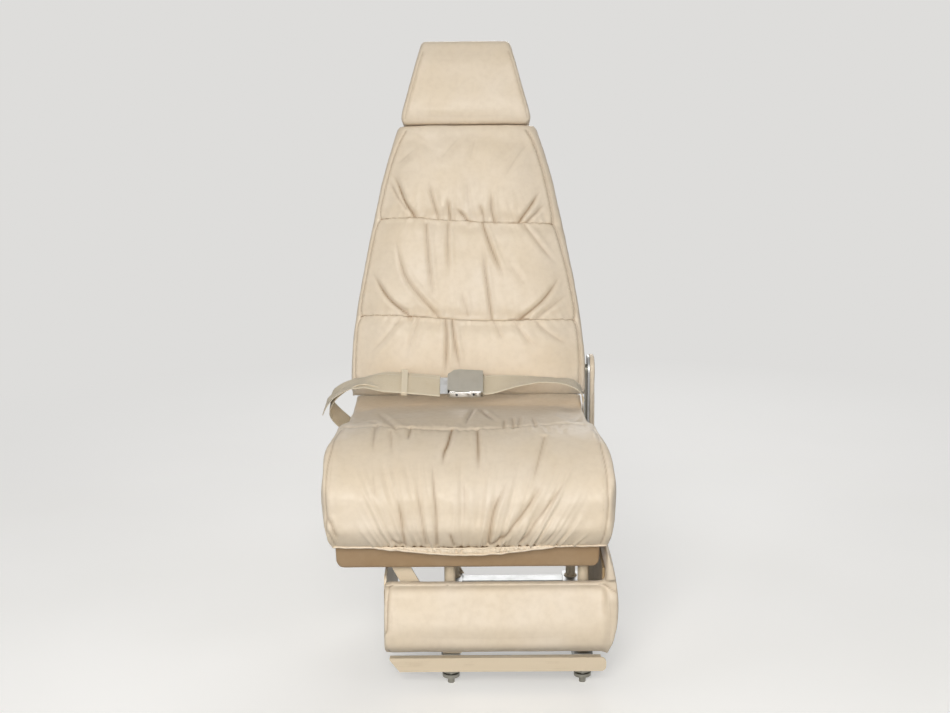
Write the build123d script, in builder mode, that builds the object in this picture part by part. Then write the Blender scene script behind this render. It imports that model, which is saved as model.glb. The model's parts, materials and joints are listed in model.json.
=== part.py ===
from build123d import *
import os
from math import cos, radians, sin

# A single cabin seat: padded base on a pedestal, reclining back, raising headrest, drop-down
# armrest and lap belt. The origin is the middle of the four floor studs, level with the floor.
# +X is the aisle side, the seat faces -Y, and +Z is up. Every size is in millimetres.

os.makedirs("parts", exist_ok=True)

# Common clearances
GAP = 0.3  # two faces that meet without touching
PIN_PLAY = 0.06  # radial, a pin in its hole
GUIDE_PLAY = 0.1  # radial, a post in its guide
CUT = 12  # overrun of every cut

# Floor feet, on the tracks in the cabin floor
STUD_PITCH_X = 228.6
STUD_PITCH_Y = 355.6
STUD_D = 12
STUD_LENGTH = 12
FOOT_FLANGE_D = 30
FOOT_FLANGE_T = 6
FOOT_NECK_D = 20

# Floor beams, channels that open downwards
BEAM_BOTTOM = 30
BEAM_WIDTH = 32
BEAM_HEIGHT = 32
BEAM_WALL = 3
BEAM_OVERHANG = 27
BEAM_HOLE_D = 16
BEAM_HOLES = 5
TIE_WIDTH = 30
TIE_HEIGHT = 24
TIE_WALL = 2

# Kick plate under the front pad
KICK_FRONT_Y = -218
KICK_LEFT_X = -218.5
KICK_RIGHT_LAP = 8  # past the inner face of the aisle board
KICK_BOTTOM = 36
KICK_TOP = 61
KICK_T = 3
KICK_CORNER_X = 17
KICK_CORNER_Z = 22
KICK_END_R = 9

# Posts and braces that carry the seat frame
POST_D = 19.05
POST_WALL = 2
BRACE_WIDTH = 28
BRACE_T = 5
BRACE_FOOT_X = -111
BRACE_TOP_X = -212
BOLT_D = 8
BOLT_PLAY = 0.3
BOLT_HEAD_D = 14
BOLT_HEAD_T = 5

# Seat frame
SEAT_X = -83  # middle of the seat, left of the studs
RAIL_INSET = 4.8  # outer face of a rail, inside the cushion's side
RAIL_WIDTH = 20
RAIL_BOTTOM = 232
RAIL_TOP = 272
RAIL_WALL = 2.5
RAIL_FRONT_Y = -215
RAIL_REAR_Y = 193
CROSS_WIDTH = 28
CROSS_WALL = 2.5
PAN_T = 2
PAN_LIP = 9
PAN_HOLE_D = 74
PAN_HOLE_PITCH_X = 118
PAN_HOLE_PITCH_Y = 124

# Pedestal covers
BOARD_T = 4
BOARD_BOTTOM = 76
BOARD_TOP = 194
BOARD_FRONT_Y = -218
PAD_BOTTOM = 72
PAD_TOP = 198
PAD_FRONT_Y = -240
PAD_EDGE_R = 11
PEDESTAL_LEFT_X = -225.5
AISLE_GAP = 5.2  # from the skirt to the inner face of the aisle board
AISLE_BOARD_TOP = 221
AISLE_REAR_Y = 195
AISLE_PAD_TOP = 253
AISLE_PAD_LIP = 5  # thickness of the pad at its top edge
AISLE_PAD_FOOT = 6
AISLE_PAD_BULGE = 22.5
AISLE_PAD_BULGE_Z = 148
AISLE_PAD_SHOULDER = 16
AISLE_PAD_SHOULDER_Z = 214
WALL_BOARD_TOP = 206
WALL_BOARD_REAR_Y = 195
STANDOFF_D = 12
STANDOFF_LOW_Z = 118
STANDOFF_HIGH_Z = 168

# Upholstered skirt round the seat frame
SKIRT_BOTTOM = 229
SKIRT_T = 13
SKIRT_CORNER_R = 13
SKIRT_EDGE_R = 3
SKIRT_REAR_Y = 121

# Seat cushion, a waterfall front over flared sides
CUSHION_REAR_TOP_Z = 434
CUSHION_REAR_Y = 174
CUSHION_REAR_FOOT_Y = 171
CUSHION_CREST_Y = -70
CUSHION_CREST_Z = 445
CUSHION_BROW_Y = -196
CUSHION_BROW_Z = 424
CUSHION_NOSE_Y = -258
CUSHION_NOSE_Z = 352
CUSHION_LIP_Y = -238
CUSHION_BODY_HALF = 213.8
CUSHION_ROLL_FLARE = 28.2  # how far the front roll stands out past the body
CUSHION_FOOT_FLARE = 15.2
CUSHION_BROW_FLARE = 15.5
CUSHION_SHOULDER_INSET = 15.8
CUSHION_FLARE_Y = -105
CUSHION_WIDEST_Y = -236
CUSHION_WIDEST_Z = 370
CUSHION_SHOULDER_DROP = 30

# Back pivot, and the brackets that hold it and the belt
PIVOT_Y = 210
PIVOT_Z = 265
PIVOT_PIN_D = 10
PIVOT_HEAD_D = 16
PIVOT_HEAD_T = 4
BRACKET_T = 5
BRACKET_FRONT_Y = 125
BRACKET_REAR_Y = 227
BRACKET_BOTTOM = 236
BRACKET_EAR_Y = 183
BRACKET_EAR_TOP = 312
BRACKET_EAR_REAR_Y = 209
BRACKET_CORNER_R = 5
ANCHOR_Y = 196
ANCHOR_Z = 298

# Back frame. Heights along the back start at the pivot.
LEAN = 12  # degrees, at rest
RECLINE = 22  # degrees, from rest to full recline
UPRIGHT_PLAY = 0.4  # from an upright to the bracket's inner side
UPRIGHT_WIDTH = 16
UPRIGHT_DEPTH = 24
UPRIGHT_EYE_R = 14
UPRIGHT_KNEE_SHARE = 0.446  # of the back's height
UPRIGHT_TOP_DROP = 21  # below the top of the cushion
UPRIGHT_TOP_INSET = 15
TORQUE_TUBE_D = 24
TORQUE_TUBE_WALL = 3
LOWER_BAR_RISE = 16
UPPER_BAR_DROP = 77
BAR_WIDTH = 26
BAR_DEPTH = 20
BACK_PAN_T = 2
BACK_PAN_RISE = 6
BACK_PAN_ROWS = 4
BACK_PAN_TOP_SHARE = 0.4  # of a row, left plain above the holes
BACK_PAN_HOLE_D = 66
BACK_PAN_HOLE_SHRINK = 8

# Back cushion and rear shell, seen from the front
BACK_LOW = 152
BACK_TOP = 673
BACK_LEVEL_SHARES = [0, 0.17, 0.38, 0.62, 0.84, 1]
BACK_SIDE_LAP = 17.4  # past the uprights at the foot of the cushion
BACK_HALF_SHARES = [1, 0.99, 0.922, 0.806, 0.685, 0.58]
BACK_CROWN = 76
BACK_CROWN_SHARES = [0.78, 0.97, 0.98, 0.95, 0.9, 0.72]
BACK_SIDE_SHARE = 0.55
BACK_SHOULDER_SHARE = 0.8
SHELL_WALL = 3
SHELL_CROWN = 40
SHELL_EDGE = 16

# Headrest
HEAD_GAP = 5  # above the back cushion
HEAD_LENGTH = 160
HEAD_HALF_LOW = 123
HEAD_HALF_TOP = 84
HEAD_FRONT = 66
HEAD_REAR = 32
HEAD_TAPER = 12
HEAD_EDGE_R = 11
HEAD_POST_D = 12
HEAD_POST_X = 48
HEAD_POST_DROP = 113  # foot of the posts, below the top of the back
HEAD_POST_RISE = 100  # top of the posts, above the foot of the headrest
GUIDE_WALL = 2
GUIDE_TOP_DROP = 7
HEAD_PLATE_T = 3
HEAD_PLATE_HALF = 60
HEAD_PLATE_RISE = 12
HEAD_PLATE_LENGTH = 96
HEAD_PLATE_HOLE_D = 22
POCKET_PLAY = 2

# Recline actuator under the seat pan
ARM_RADIUS = 45  # pivot to the eye that the rod pushes
ARM_T = 8
ARM_EYE_R = 9
ARM_HUB_R = 15
ARM_EYE_PLAY = 0.6
ROD_D = 10
ROD_FRONT_Y = 22
ROD_FORK_T = 5
ROD_FORK_BACK = 24
ROD_FORK_R = 2
ROD_PIN_D = 8
CYLINDER_D = 28
CYLINDER_FRONT_Y = -122
CYLINDER_REAR_Y = 64
CYLINDER_BORE_FRONT_Y = -6
CYLINDER_EYE_Y = -140
CYLINDER_EYE_R = 9
CYLINDER_EYE_T = 8
CYLINDER_COLLAR_D = 33
CYLINDER_COLLAR_L = 9
HANGER_T = 5
HANGER_BOTTOM = 206
HANGER_WIDTH = 44
HANGER_EAR_T = 4

# Armrest, its lifting bar and the bar's guide, on the aisle side
SIDE_PLATE_T = 4
SIDE_PLATE_FRONT_Y = 158
SIDE_PLATE_REAR_Y = 260
SIDE_PLATE_BOTTOM = 190
SIDE_PLATE_TOP = 250
BAR_Y = 242
BAR_OFFSET = 8.2  # from the side plate's outer face to the bar
BAR_T = 4
BAR_W = 24
BAR_FOOT = 92
ARMREST_PIVOT_Z = 463
ARMREST_R = 30
ARMREST_REACH = 210
ARMREST_TIP_R = 22
ARMREST_CORE_T = 4
ARMREST_PAD_T = 9.6
ARMREST_PAD_MARGIN = 2
ARMREST_PIN_D = 10
GUIDE_BLOCK_BOTTOM = 192
GUIDE_BLOCK_TOP = 246
GUIDE_BLOCK_WALL = 2
GUIDE_BLOCK_SIDE = 5

# Recline release lever
LEVER_Y = 192
LEVER_Z = 214
LEVER_T = 4
LEVER_HUB_R = 9
LEVER_PIN_D = 8
LEVER_LENGTH = 70
LEVER_ANGLE = -85  # degrees, from straight back
LEVER_NECK = 12
LEVER_PADDLE_W = 20
LEVER_PADDLE_L = 36
LEVER_PADDLE_T = 5
LEVER_PIN_RIM = 2.5
LEVER_PIN_HEAD_T = 1.8

# Lap belt
WEB_WIDTH = 50
WEB_T = 1.5
WEB_BEND_R = 14
BELT_TILT = 30  # degrees, how far the webbing leans back
BELT_Y = 104.6
BELT_Z = 465.5
BELT_END = -162
ANCHOR_PLATE_T = 2.6
ANCHOR_PLATE_W = 54
ANCHOR_PLATE_H = 18
ANCHOR_PLATE_TOP = -148
ANCHOR_EYE_R = 11
ANCHOR_HEAD_R = 7
ANCHOR_HEAD_T = 2.2
TAIL_RISE = 3.4
TAIL_SHIFT = 9
# Shares of the belt's half width, out from the buckle and up from it
LEFT_SHARES = [
    (0.756, 0.078), (0.98, 0.032), (1.146, -0.101), (1.205, -0.247), (1.127, -0.394), (1, -0.541)
]
TAIL_SHARES = [(1.168, -0.082), (1.233, -0.211)]
RIGHT_SHARES = [(0.541, 0.055), (0.77, 0.055), (0.944, -0.009), (1, -0.165)]
KEEPER_X = -118
KEEPER_W = 11
KEEPER_T = 1.2
KEEPER_ROOM = 0.6

# Lift-latch buckle, in the plane of the belt
BUCKLE_LEFT = -38
BUCKLE_RIGHT = 30
BUCKLE_HALF = 30
BUCKLE_FLOOR = -6
BUCKLE_SHEET = 1.8
BUCKLE_WALL_TOP = 4.6
BUCKLE_PIN_D = 4
BUCKLE_PIN_LEVEL = 0.5
BUCKLE_HINGE_X = 25
BUCKLE_BAR_X = 8
BUCKLE_LATCH_X = -27
LID_SKIRT = -2
LID_LEFT_TOP = 8
LID_CREST_X = -16
LID_CREST = 12
LID_RIGHT_TOP = 8.5
LID_CORNER = 11
LID_RIGHT = 28
LID_EDGE_ALONG = 0.9  # least share of an edge's direction that lies along the belt's Y
TONGUE_T = 2.2
TONGUE_LEVEL = -3.9
TONGUE_LEFT = -68
TONGUE_RIGHT = -12
TONGUE_HALF = 22
TONGUE_HEAD = 16
TONGUE_SLOT = 7
TONGUE_LATCH_SLOT = 8


def save(piece, name):
    """Label a finished piece and write its STEP file."""
    piece.part.label = name
    export_step(piece.part, "parts/" + name + ".step")


# Places that several pieces share
post_x = STUD_PITCH_X / 2
post_y = STUD_PITCH_Y / 2
beam_top = BEAM_BOTTOM + BEAM_HEIGHT
beam_end_y = post_y + BEAM_OVERHANG
rail_out = CUSHION_BODY_HALF - RAIL_INSET
rail_mid = rail_out - RAIL_WIDTH / 2
rail_length = RAIL_REAR_Y - RAIL_FRONT_Y
rail_mid_y = (RAIL_REAR_Y + RAIL_FRONT_Y) / 2
cross_half = rail_out - RAIL_WIDTH
cross_mid_z = RAIL_BOTTOM + CROSS_WIDTH / 2
pan_top = RAIL_TOP + PAN_T
bracket_in = rail_out + GAP
bracket_out = bracket_in + BRACKET_T
skirt_half = rail_out + GAP + SKIRT_T
aisle_x = SEAT_X + skirt_half + AISLE_GAP
upright_out = rail_out - UPRIGHT_PLAY
upright_in = upright_out - UPRIGHT_WIDTH
upright_knee = BACK_TOP * UPRIGHT_KNEE_SHARE
upright_top = BACK_TOP - UPRIGHT_TOP_DROP
back_half = upright_out + BACK_SIDE_LAP
upright_top_out = back_half * BACK_HALF_SHARES[-1] - UPRIGHT_TOP_INSET
back_pan_low = BACK_LOW + BACK_PAN_RISE
lower_bar_low = BACK_LOW + LOWER_BAR_RISE
upper_bar_low = BACK_TOP - UPPER_BAR_DROP
head_low = BACK_TOP + HEAD_GAP
head_plate_low = head_low + HEAD_PLATE_RISE
head_plate_high = head_plate_low + HEAD_PLATE_LENGTH
belt_side = bracket_out + 2 * GAP + ANCHOR_PLATE_T + WEB_T / 2
back_plane = Plane(
    origin=(SEAT_X, PIVOT_Y, PIVOT_Z),
    x_dir=(1, 0, 0),
    z_dir=(0, -cos(radians(LEAN)), sin(radians(LEAN))),
)
belt_plane = Plane(
    origin=(SEAT_X, BELT_Y, BELT_Z),
    x_dir=(1, 0, 0),
    z_dir=(0, -cos(radians(BELT_TILT)), -sin(radians(BELT_TILT))),
)


def back_level(height):
    """The plane square to the back at a height along it, with its Y towards the front."""
    return Plane(
        origin=back_plane.from_local_coords((0, height, 0)),
        x_dir=(1, 0, 0),
        z_dir=-back_plane.y_dir,
    )


# Floor feet
with BuildPart() as foot:
    with BuildSketch(Plane.XZ):
        with BuildLine():
            Polyline(
                (0, 0),
                (STUD_D / 2, 0),
                (STUD_D / 2, STUD_LENGTH),
                (FOOT_FLANGE_D / 2, STUD_LENGTH),
                (FOOT_FLANGE_D / 2, STUD_LENGTH + FOOT_FLANGE_T),
                (FOOT_NECK_D / 2, STUD_LENGTH + FOOT_FLANGE_T),
                (FOOT_NECK_D / 2, beam_top - BEAM_WALL),
                (0, beam_top - BEAM_WALL),
                close=True,
            )
        make_face()
    revolve(axis=Axis.Z)

with BuildPart() as floor_feet:
    with GridLocations(STUD_PITCH_X, STUD_PITCH_Y, 2, 2):
        add(foot.part)
save(floor_feet, "floor_feet")

# Floor beams
for side, name in ((-1, "left_floor_beam"), (1, "right_floor_beam")):
    with BuildPart() as floor_beam:
        with BuildSketch(Plane.XZ.offset(-beam_end_y)):
            with Locations((side * post_x, BEAM_BOTTOM + BEAM_HEIGHT / 2)):
                Rectangle(BEAM_WIDTH, BEAM_HEIGHT)
            with Locations((side * post_x, BEAM_BOTTOM + BEAM_HEIGHT / 2 - BEAM_WALL)):
                Rectangle(BEAM_WIDTH - 2 * BEAM_WALL, BEAM_HEIGHT, mode=Mode.SUBTRACT)
        extrude(amount=2 * beam_end_y)
        with BuildSketch(Plane.YZ.offset(side * post_x)):
            with Locations((0, BEAM_BOTTOM + BEAM_HEIGHT / 2 - BEAM_WALL / 2)):
                with GridLocations(STUD_PITCH_Y / BEAM_HOLES, 0, BEAM_HOLES, 1):
                    Circle(BEAM_HOLE_D / 2)
        extrude(amount=BEAM_WIDTH, both=True, mode=Mode.SUBTRACT)
    save(floor_beam, name)

# Tie between the beams at the rear
with BuildPart() as rear_floor_tie:
    with BuildSketch(Plane.YZ.offset(-post_x + BEAM_WIDTH / 2)):
        with Locations((post_y, BEAM_BOTTOM + BEAM_HEIGHT / 2)):
            Rectangle(TIE_WIDTH, TIE_HEIGHT)
            Rectangle(TIE_WIDTH - 2 * TIE_WALL, TIE_HEIGHT - 2 * TIE_WALL, mode=Mode.SUBTRACT)
    extrude(amount=STUD_PITCH_X - BEAM_WIDTH)
save(rear_floor_tie, "rear_floor_tie")

# Kick plate, folded back at its top edge to the ends of the beams
kick_right_x = aisle_x + KICK_RIGHT_LAP
with BuildPart() as kick_plate:
    with BuildSketch(Plane.XZ.offset(-KICK_FRONT_Y)) as kick_face:
        with BuildLine():
            Polyline(
                (KICK_LEFT_X, KICK_TOP),
                (KICK_LEFT_X, KICK_BOTTOM + KICK_CORNER_Z),
                (KICK_LEFT_X + KICK_CORNER_X, KICK_BOTTOM),
                (kick_right_x, KICK_BOTTOM),
                (kick_right_x, KICK_TOP),
                close=True,
            )
        make_face()
        fillet(kick_face.vertices().group_by(Axis.X)[-1], KICK_END_R)
    extrude(amount=-KICK_T)
    with BuildSketch(Plane.XY.offset(KICK_TOP - KICK_T)):
        with Locations((KICK_LEFT_X, KICK_FRONT_Y)):
            Rectangle(
                kick_right_x - KICK_LEFT_X - KICK_END_R,
                -beam_end_y - KICK_FRONT_Y,
                align=(Align.MIN, Align.MIN),
            )
    extrude(amount=KICK_T)
save(kick_plate, "kick_plate")

# Posts, from the beams to the seat frame
with BuildPart() as posts:
    with BuildSketch(Plane.XY.offset(beam_top)):
        with GridLocations(STUD_PITCH_X, STUD_PITCH_Y, 2, 2):
            Circle(POST_D / 2)
            Circle(POST_D / 2 - POST_WALL, mode=Mode.SUBTRACT)
    extrude(amount=RAIL_BOTTOM - beam_top)
save(posts, "posts")

# Seat frame: cross beams between two side rails
with BuildPart() as cross_beam:
    with BuildSketch(Plane.YZ.offset(SEAT_X - cross_half)):
        with Locations((0, cross_mid_z)):
            Rectangle(CROSS_WIDTH, CROSS_WIDTH)
            Rectangle(CROSS_WIDTH - 2 * CROSS_WALL, CROSS_WIDTH - 2 * CROSS_WALL, mode=Mode.SUBTRACT)
    extrude(amount=2 * cross_half)

for y, name in ((-post_y, "front_cross_beam"), (post_y, "rear_cross_beam")):
    with BuildPart() as placed_beam:
        with Locations((0, y, 0)):
            add(cross_beam.part)
    save(placed_beam, name)

for side, name in ((-1, "left_side_rail"), (1, "right_side_rail")):
    with BuildPart() as side_rail:
        with BuildSketch(Plane.XZ.offset(-RAIL_REAR_Y)):
            with Locations((SEAT_X + side * rail_mid, (RAIL_BOTTOM + RAIL_TOP) / 2)):
                Rectangle(RAIL_WIDTH, RAIL_TOP - RAIL_BOTTOM)
                Rectangle(
                    RAIL_WIDTH - 2 * RAIL_WALL, RAIL_TOP - RAIL_BOTTOM - 2 * RAIL_WALL, mode=Mode.SUBTRACT
                )
        extrude(amount=rail_length)
    save(side_rail, name)

# Seat pan, a pressed sheet with a lip between the rails and holes that lighten it
with BuildPart() as seat_pan:
    with BuildSketch(Plane.XY.offset(RAIL_TOP)):
        with Locations((SEAT_X, rail_mid_y)):
            Rectangle(2 * rail_out, rail_length)
            with GridLocations(PAN_HOLE_PITCH_X, PAN_HOLE_PITCH_Y, 3, 3):
                Circle(PAN_HOLE_D / 2, mode=Mode.SUBTRACT)
    extrude(amount=PAN_T)
    with BuildSketch(Plane.XY.offset(RAIL_TOP)):
        with Locations((SEAT_X, RAIL_FRONT_Y + PAN_T / 2)):
            Rectangle(2 * cross_half - 2 * GAP, PAN_T)
    extrude(amount=-PAN_LIP)
save(seat_pan, "seat_pan")

# Diagonal braces, from the left beam up to the seat frame
brace_low = Vector(BRACE_FOOT_X, beam_top)
brace_high = Vector(BRACE_TOP_X, cross_mid_z)
brace_way = (brace_high - brace_low).normalized()
brace_half = BRACE_WIDTH / 2 / abs(brace_way.Y)
brace_side = Vector(brace_way.Y, -brace_way.X) * BRACE_WIDTH / 2
with BuildPart() as brace:
    with BuildSketch(Plane.XZ):
        with BuildLine():
            Polyline(
                (BRACE_FOOT_X - brace_half, beam_top),
                (BRACE_FOOT_X + brace_half, beam_top),
                brace_high + brace_side,
                brace_high - brace_side,
                close=True,
            )
        make_face()
        with Locations(brace_high):
            Circle(BRACE_WIDTH / 2)
            Circle(BOLT_D / 2 + BOLT_PLAY, mode=Mode.SUBTRACT)
    extrude(amount=BRACE_T)

brace_y = post_y + CROSS_WIDTH / 2
with BuildPart() as diagonal_braces:
    with Locations((0, -brace_y, 0), (0, brace_y + BRACE_T, 0)):
        add(brace.part)
save(diagonal_braces, "diagonal_braces")

with BuildPart() as brace_bolts:
    for side in (-1, 1):
        with BuildSketch(Plane.XZ.offset(-side * brace_y)):
            with Locations(brace_high):
                Circle(BOLT_D / 2)
        extrude(amount=-side * BRACE_T)
        with BuildSketch(Plane.XZ.offset(-side * (brace_y + BRACE_T))):
            with Locations(brace_high):
                RegularPolygon(BOLT_HEAD_D / 2, 6)
        extrude(amount=-side * BOLT_HEAD_T)
save(brace_bolts, "brace_bolts")

# Pedestal boards: front, aisle side and wall side
board_rear_y = BOARD_FRONT_Y + BOARD_T
with BuildPart() as pedestal_board:
    with BuildSketch(Plane.XZ.offset(-board_rear_y)) as board_face:
        with Locations((PEDESTAL_LEFT_X, BOARD_BOTTOM)):
            Rectangle(
                aisle_x + BOARD_T - PEDESTAL_LEFT_X, BOARD_TOP - BOARD_BOTTOM, align=(Align.MIN, Align.MIN)
            )
        fillet(board_face.vertices(), PAD_EDGE_R)
    extrude(amount=BOARD_T)
save(pedestal_board, "pedestal_board")

with BuildPart() as aisle_board:
    with BuildSketch(Plane.YZ.offset(aisle_x)):
        with Locations((board_rear_y + GAP, BOARD_BOTTOM)):
            Rectangle(
                AISLE_REAR_Y - BOARD_T - board_rear_y,
                AISLE_BOARD_TOP - BOARD_BOTTOM,
                align=(Align.MIN, Align.MIN),
            )
    extrude(amount=BOARD_T)
save(aisle_board, "aisle_board")

with BuildPart() as wall_board:
    with BuildSketch(Plane.YZ.offset(PEDESTAL_LEFT_X)) as wall_face:
        with Locations((board_rear_y + GAP, BOARD_BOTTOM)):
            Rectangle(
                WALL_BOARD_REAR_Y - board_rear_y, WALL_BOARD_TOP - BOARD_BOTTOM, align=(Align.MIN, Align.MIN)
            )
        fillet(wall_face.vertices().group_by(Axis.Z)[-1], PAD_EDGE_R)
    extrude(amount=BOARD_T)
save(wall_board, "wall_board")

# Standoffs that carry the boards on the posts
post_face = POST_D / 2 + GAP
with BuildPart() as panel_standoffs:
    for height in (STANDOFF_LOW_Z, STANDOFF_HIGH_Z):
        with BuildSketch(Plane.XZ.offset(post_y + post_face)):
            with Locations((-post_x, height), (post_x, height)):
                Circle(STANDOFF_D / 2)
        extrude(amount=-board_rear_y - post_y - post_face)
        for y in (-post_y, post_y):
            with BuildSketch(Plane.YZ.offset(aisle_x)):
                with Locations((y, height)):
                    Circle(STANDOFF_D / 2)
            extrude(amount=-(aisle_x - post_x - post_face))
        for y in (-post_y, post_y):
            with BuildSketch(Plane.YZ.offset(PEDESTAL_LEFT_X + BOARD_T)):
                with Locations((y, height)):
                    Circle(STANDOFF_D / 2)
            extrude(amount=-post_x - post_face - PEDESTAL_LEFT_X - BOARD_T)
save(panel_standoffs, "panel_standoffs")

# Leather pads over the front board and the aisle board
pad_rear_y = BOARD_FRONT_Y - GAP
pad_right_x = aisle_x + BOARD_T
with BuildPart() as pedestal_pad:
    with BuildSketch(Plane.YZ.offset(PEDESTAL_LEFT_X)):
        with BuildLine():
            foot_edge = Line((pad_rear_y, PAD_TOP), (pad_rear_y, PAD_BOTTOM))
            Spline(
                foot_edge @ 1,
                (PAD_FRONT_Y + PAD_EDGE_R / 2, PAD_BOTTOM + PAD_EDGE_R / 2),
                (PAD_FRONT_Y, (PAD_BOTTOM + PAD_TOP) / 2),
                (PAD_FRONT_Y + PAD_EDGE_R / 2, PAD_TOP - PAD_EDGE_R / 2),
                foot_edge @ 0,
                tangents=[(-1, 0), (1, 0)],
            )
        make_face()
    extrude(amount=pad_right_x - PEDESTAL_LEFT_X)
save(pedestal_pad, "pedestal_pad")

aisle_pad_x = aisle_x + BOARD_T + GAP
with BuildPart() as aisle_pad:
    with BuildSketch(Plane.XZ.offset(-PAD_FRONT_Y)):
        with BuildLine():
            inner_edge = Line((aisle_pad_x, PAD_BOTTOM), (aisle_pad_x, AISLE_PAD_TOP))
            top_edge = Line(inner_edge @ 1, (aisle_pad_x + AISLE_PAD_LIP, AISLE_PAD_TOP))
            bulge = Spline(
                top_edge @ 1,
                (aisle_pad_x + AISLE_PAD_SHOULDER, AISLE_PAD_SHOULDER_Z),
                (aisle_pad_x + AISLE_PAD_BULGE, AISLE_PAD_BULGE_Z),
                (aisle_pad_x + AISLE_PAD_FOOT, PAD_BOTTOM),
            )
            Line(bulge @ 1, inner_edge @ 0)
        make_face()
    extrude(amount=PAD_FRONT_Y - AISLE_REAR_Y)
save(aisle_pad, "aisle_pad")

# Skirt round the seat frame
skirt_rear_y = RAIL_FRONT_Y - GAP
with BuildPart() as front_skirt:
    with BuildSketch(Plane.XZ.offset(-skirt_rear_y)) as skirt_face:
        with Locations((SEAT_X, SKIRT_BOTTOM)):
            Rectangle(2 * skirt_half, pan_top - SKIRT_BOTTOM, align=(Align.CENTER, Align.MIN))
        fillet(skirt_face.vertices().group_by(Axis.Y)[0], SKIRT_CORNER_R)
    extrude(amount=SKIRT_T)
    fillet(front_skirt.faces().sort_by(Axis.Y)[0].edges(), SKIRT_EDGE_R)
save(front_skirt, "front_skirt")

with BuildPart() as side_skirts:
    for side in (-1, 1):
        with BuildSketch(Plane.XZ.offset(-SKIRT_REAR_Y)):
            with Locations((SEAT_X + side * (skirt_half - SKIRT_T / 2), SKIRT_BOTTOM)):
                RectangleRounded(
                    SKIRT_T, pan_top - SKIRT_BOTTOM, SKIRT_EDGE_R, align=(Align.CENTER, Align.MIN)
                )
        extrude(amount=SKIRT_REAR_Y - skirt_rear_y - GAP)
save(side_skirts, "side_skirts")

# Seat cushion: the side view, the plan and the front view, each as a solid, and what they share
cushion_foot = pan_top + GAP
roll_half = CUSHION_BODY_HALF + CUSHION_ROLL_FLARE
foot_half = CUSHION_BODY_HALF + CUSHION_FOOT_FLARE
with BuildSketch(Plane.YZ) as cushion_side:
    with BuildLine():
        rear_edge = Line((CUSHION_REAR_FOOT_Y, cushion_foot), (CUSHION_REAR_Y, CUSHION_REAR_TOP_Z))
        roll = Spline(
            rear_edge @ 1,
            (CUSHION_CREST_Y, CUSHION_CREST_Z),
            (CUSHION_BROW_Y, CUSHION_BROW_Z),
            (CUSHION_NOSE_Y, CUSHION_NOSE_Z),
            (CUSHION_LIP_Y, cushion_foot),
        )
        Line(roll @ 1, rear_edge @ 0)
    make_face()

with BuildSketch(Plane.XY.offset(cushion_foot)) as cushion_plan:
    with BuildLine():
        rear_line = Line((0, CUSHION_REAR_Y), (CUSHION_BODY_HALF, CUSHION_REAR_Y))
        side_line = Line(rear_line @ 1, (CUSHION_BODY_HALF, CUSHION_FLARE_Y))
        flare = Spline(
            side_line @ 1,
            (roll_half, CUSHION_WIDEST_Y),
            (foot_half, CUSHION_NOSE_Y),
            tangents=[(0, -1), (-1, -1)],
        )
        Line(flare @ 1, (0, CUSHION_NOSE_Y))
        mirror(about=Plane.YZ)
    make_face()

with BuildSketch(Plane.XZ.offset(-CUSHION_REAR_Y)) as cushion_front:
    with BuildLine():
        foot_line = Line((0, cushion_foot), (foot_half, cushion_foot))
        shoulder = Spline(
            foot_line @ 1,
            (roll_half, CUSHION_WIDEST_Z),
            (CUSHION_BODY_HALF + CUSHION_BROW_FLARE, CUSHION_CREST_Z - CUSHION_SHOULDER_DROP),
            (CUSHION_BODY_HALF - CUSHION_SHOULDER_INSET, CUSHION_CREST_Z),
        )
        Line(shoulder @ 1, (0, CUSHION_CREST_Z))
        mirror(about=Plane.YZ)
    make_face()

with BuildPart() as seat_cushion:
    add(extrude(cushion_side.sketch, amount=roll_half + CUT, both=True, mode=Mode.PRIVATE))
    extrude(cushion_plan.sketch, amount=CUSHION_CREST_Z - cushion_foot + CUT, mode=Mode.INTERSECT)
    extrude(cushion_front.sketch, amount=CUSHION_REAR_Y - CUSHION_NOSE_Y, mode=Mode.INTERSECT)
seat_cushion.part = Pos(SEAT_X, 0, 0) * seat_cushion.part
save(seat_cushion, "seat_cushion")

# Brackets on the rails that hold the back's pivot pins and the belt's anchors
for side, name in ((-1, "left_pivot_bracket"), (1, "right_pivot_bracket")):
    with BuildPart() as pivot_bracket:
        with BuildSketch(Plane.YZ.offset(SEAT_X + side * bracket_in)) as bracket_face:
            with BuildLine():
                Polyline(
                    (BRACKET_FRONT_Y, BRACKET_BOTTOM),
                    (BRACKET_REAR_Y, BRACKET_BOTTOM),
                    (BRACKET_REAR_Y, PIVOT_Z + UPRIGHT_EYE_R),
                    (BRACKET_EAR_REAR_Y, BRACKET_EAR_TOP),
                    (BRACKET_EAR_Y, BRACKET_EAR_TOP),
                    (BRACKET_EAR_Y, RAIL_TOP),
                    (BRACKET_FRONT_Y, RAIL_TOP),
                    close=True,
                )
            make_face()
            fillet(bracket_face.vertices(), BRACKET_CORNER_R)
            with Locations((PIVOT_Y, PIVOT_Z)):
                Circle(PIVOT_PIN_D / 2 + PIN_PLAY, mode=Mode.SUBTRACT)
            with Locations((ANCHOR_Y, ANCHOR_Z)):
                Circle(BOLT_D / 2 + PIN_PLAY, mode=Mode.SUBTRACT)
        extrude(amount=side * BRACKET_T)
    save(pivot_bracket, name)

with BuildPart() as pivot_pins:
    for side in (-1, 1):
        with BuildSketch(Plane.YZ.offset(SEAT_X + side * upright_in)):
            with Locations((PIVOT_Y, PIVOT_Z)):
                Circle(PIVOT_PIN_D / 2)
        extrude(amount=side * (bracket_out + GAP - upright_in))
        with BuildSketch(Plane.YZ.offset(SEAT_X + side * (bracket_out + GAP))):
            with Locations((PIVOT_Y, PIVOT_Z)):
                Circle(PIVOT_HEAD_D / 2)
        extrude(amount=side * PIVOT_HEAD_T)
save(pivot_pins, "pivot_pins")

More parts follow.
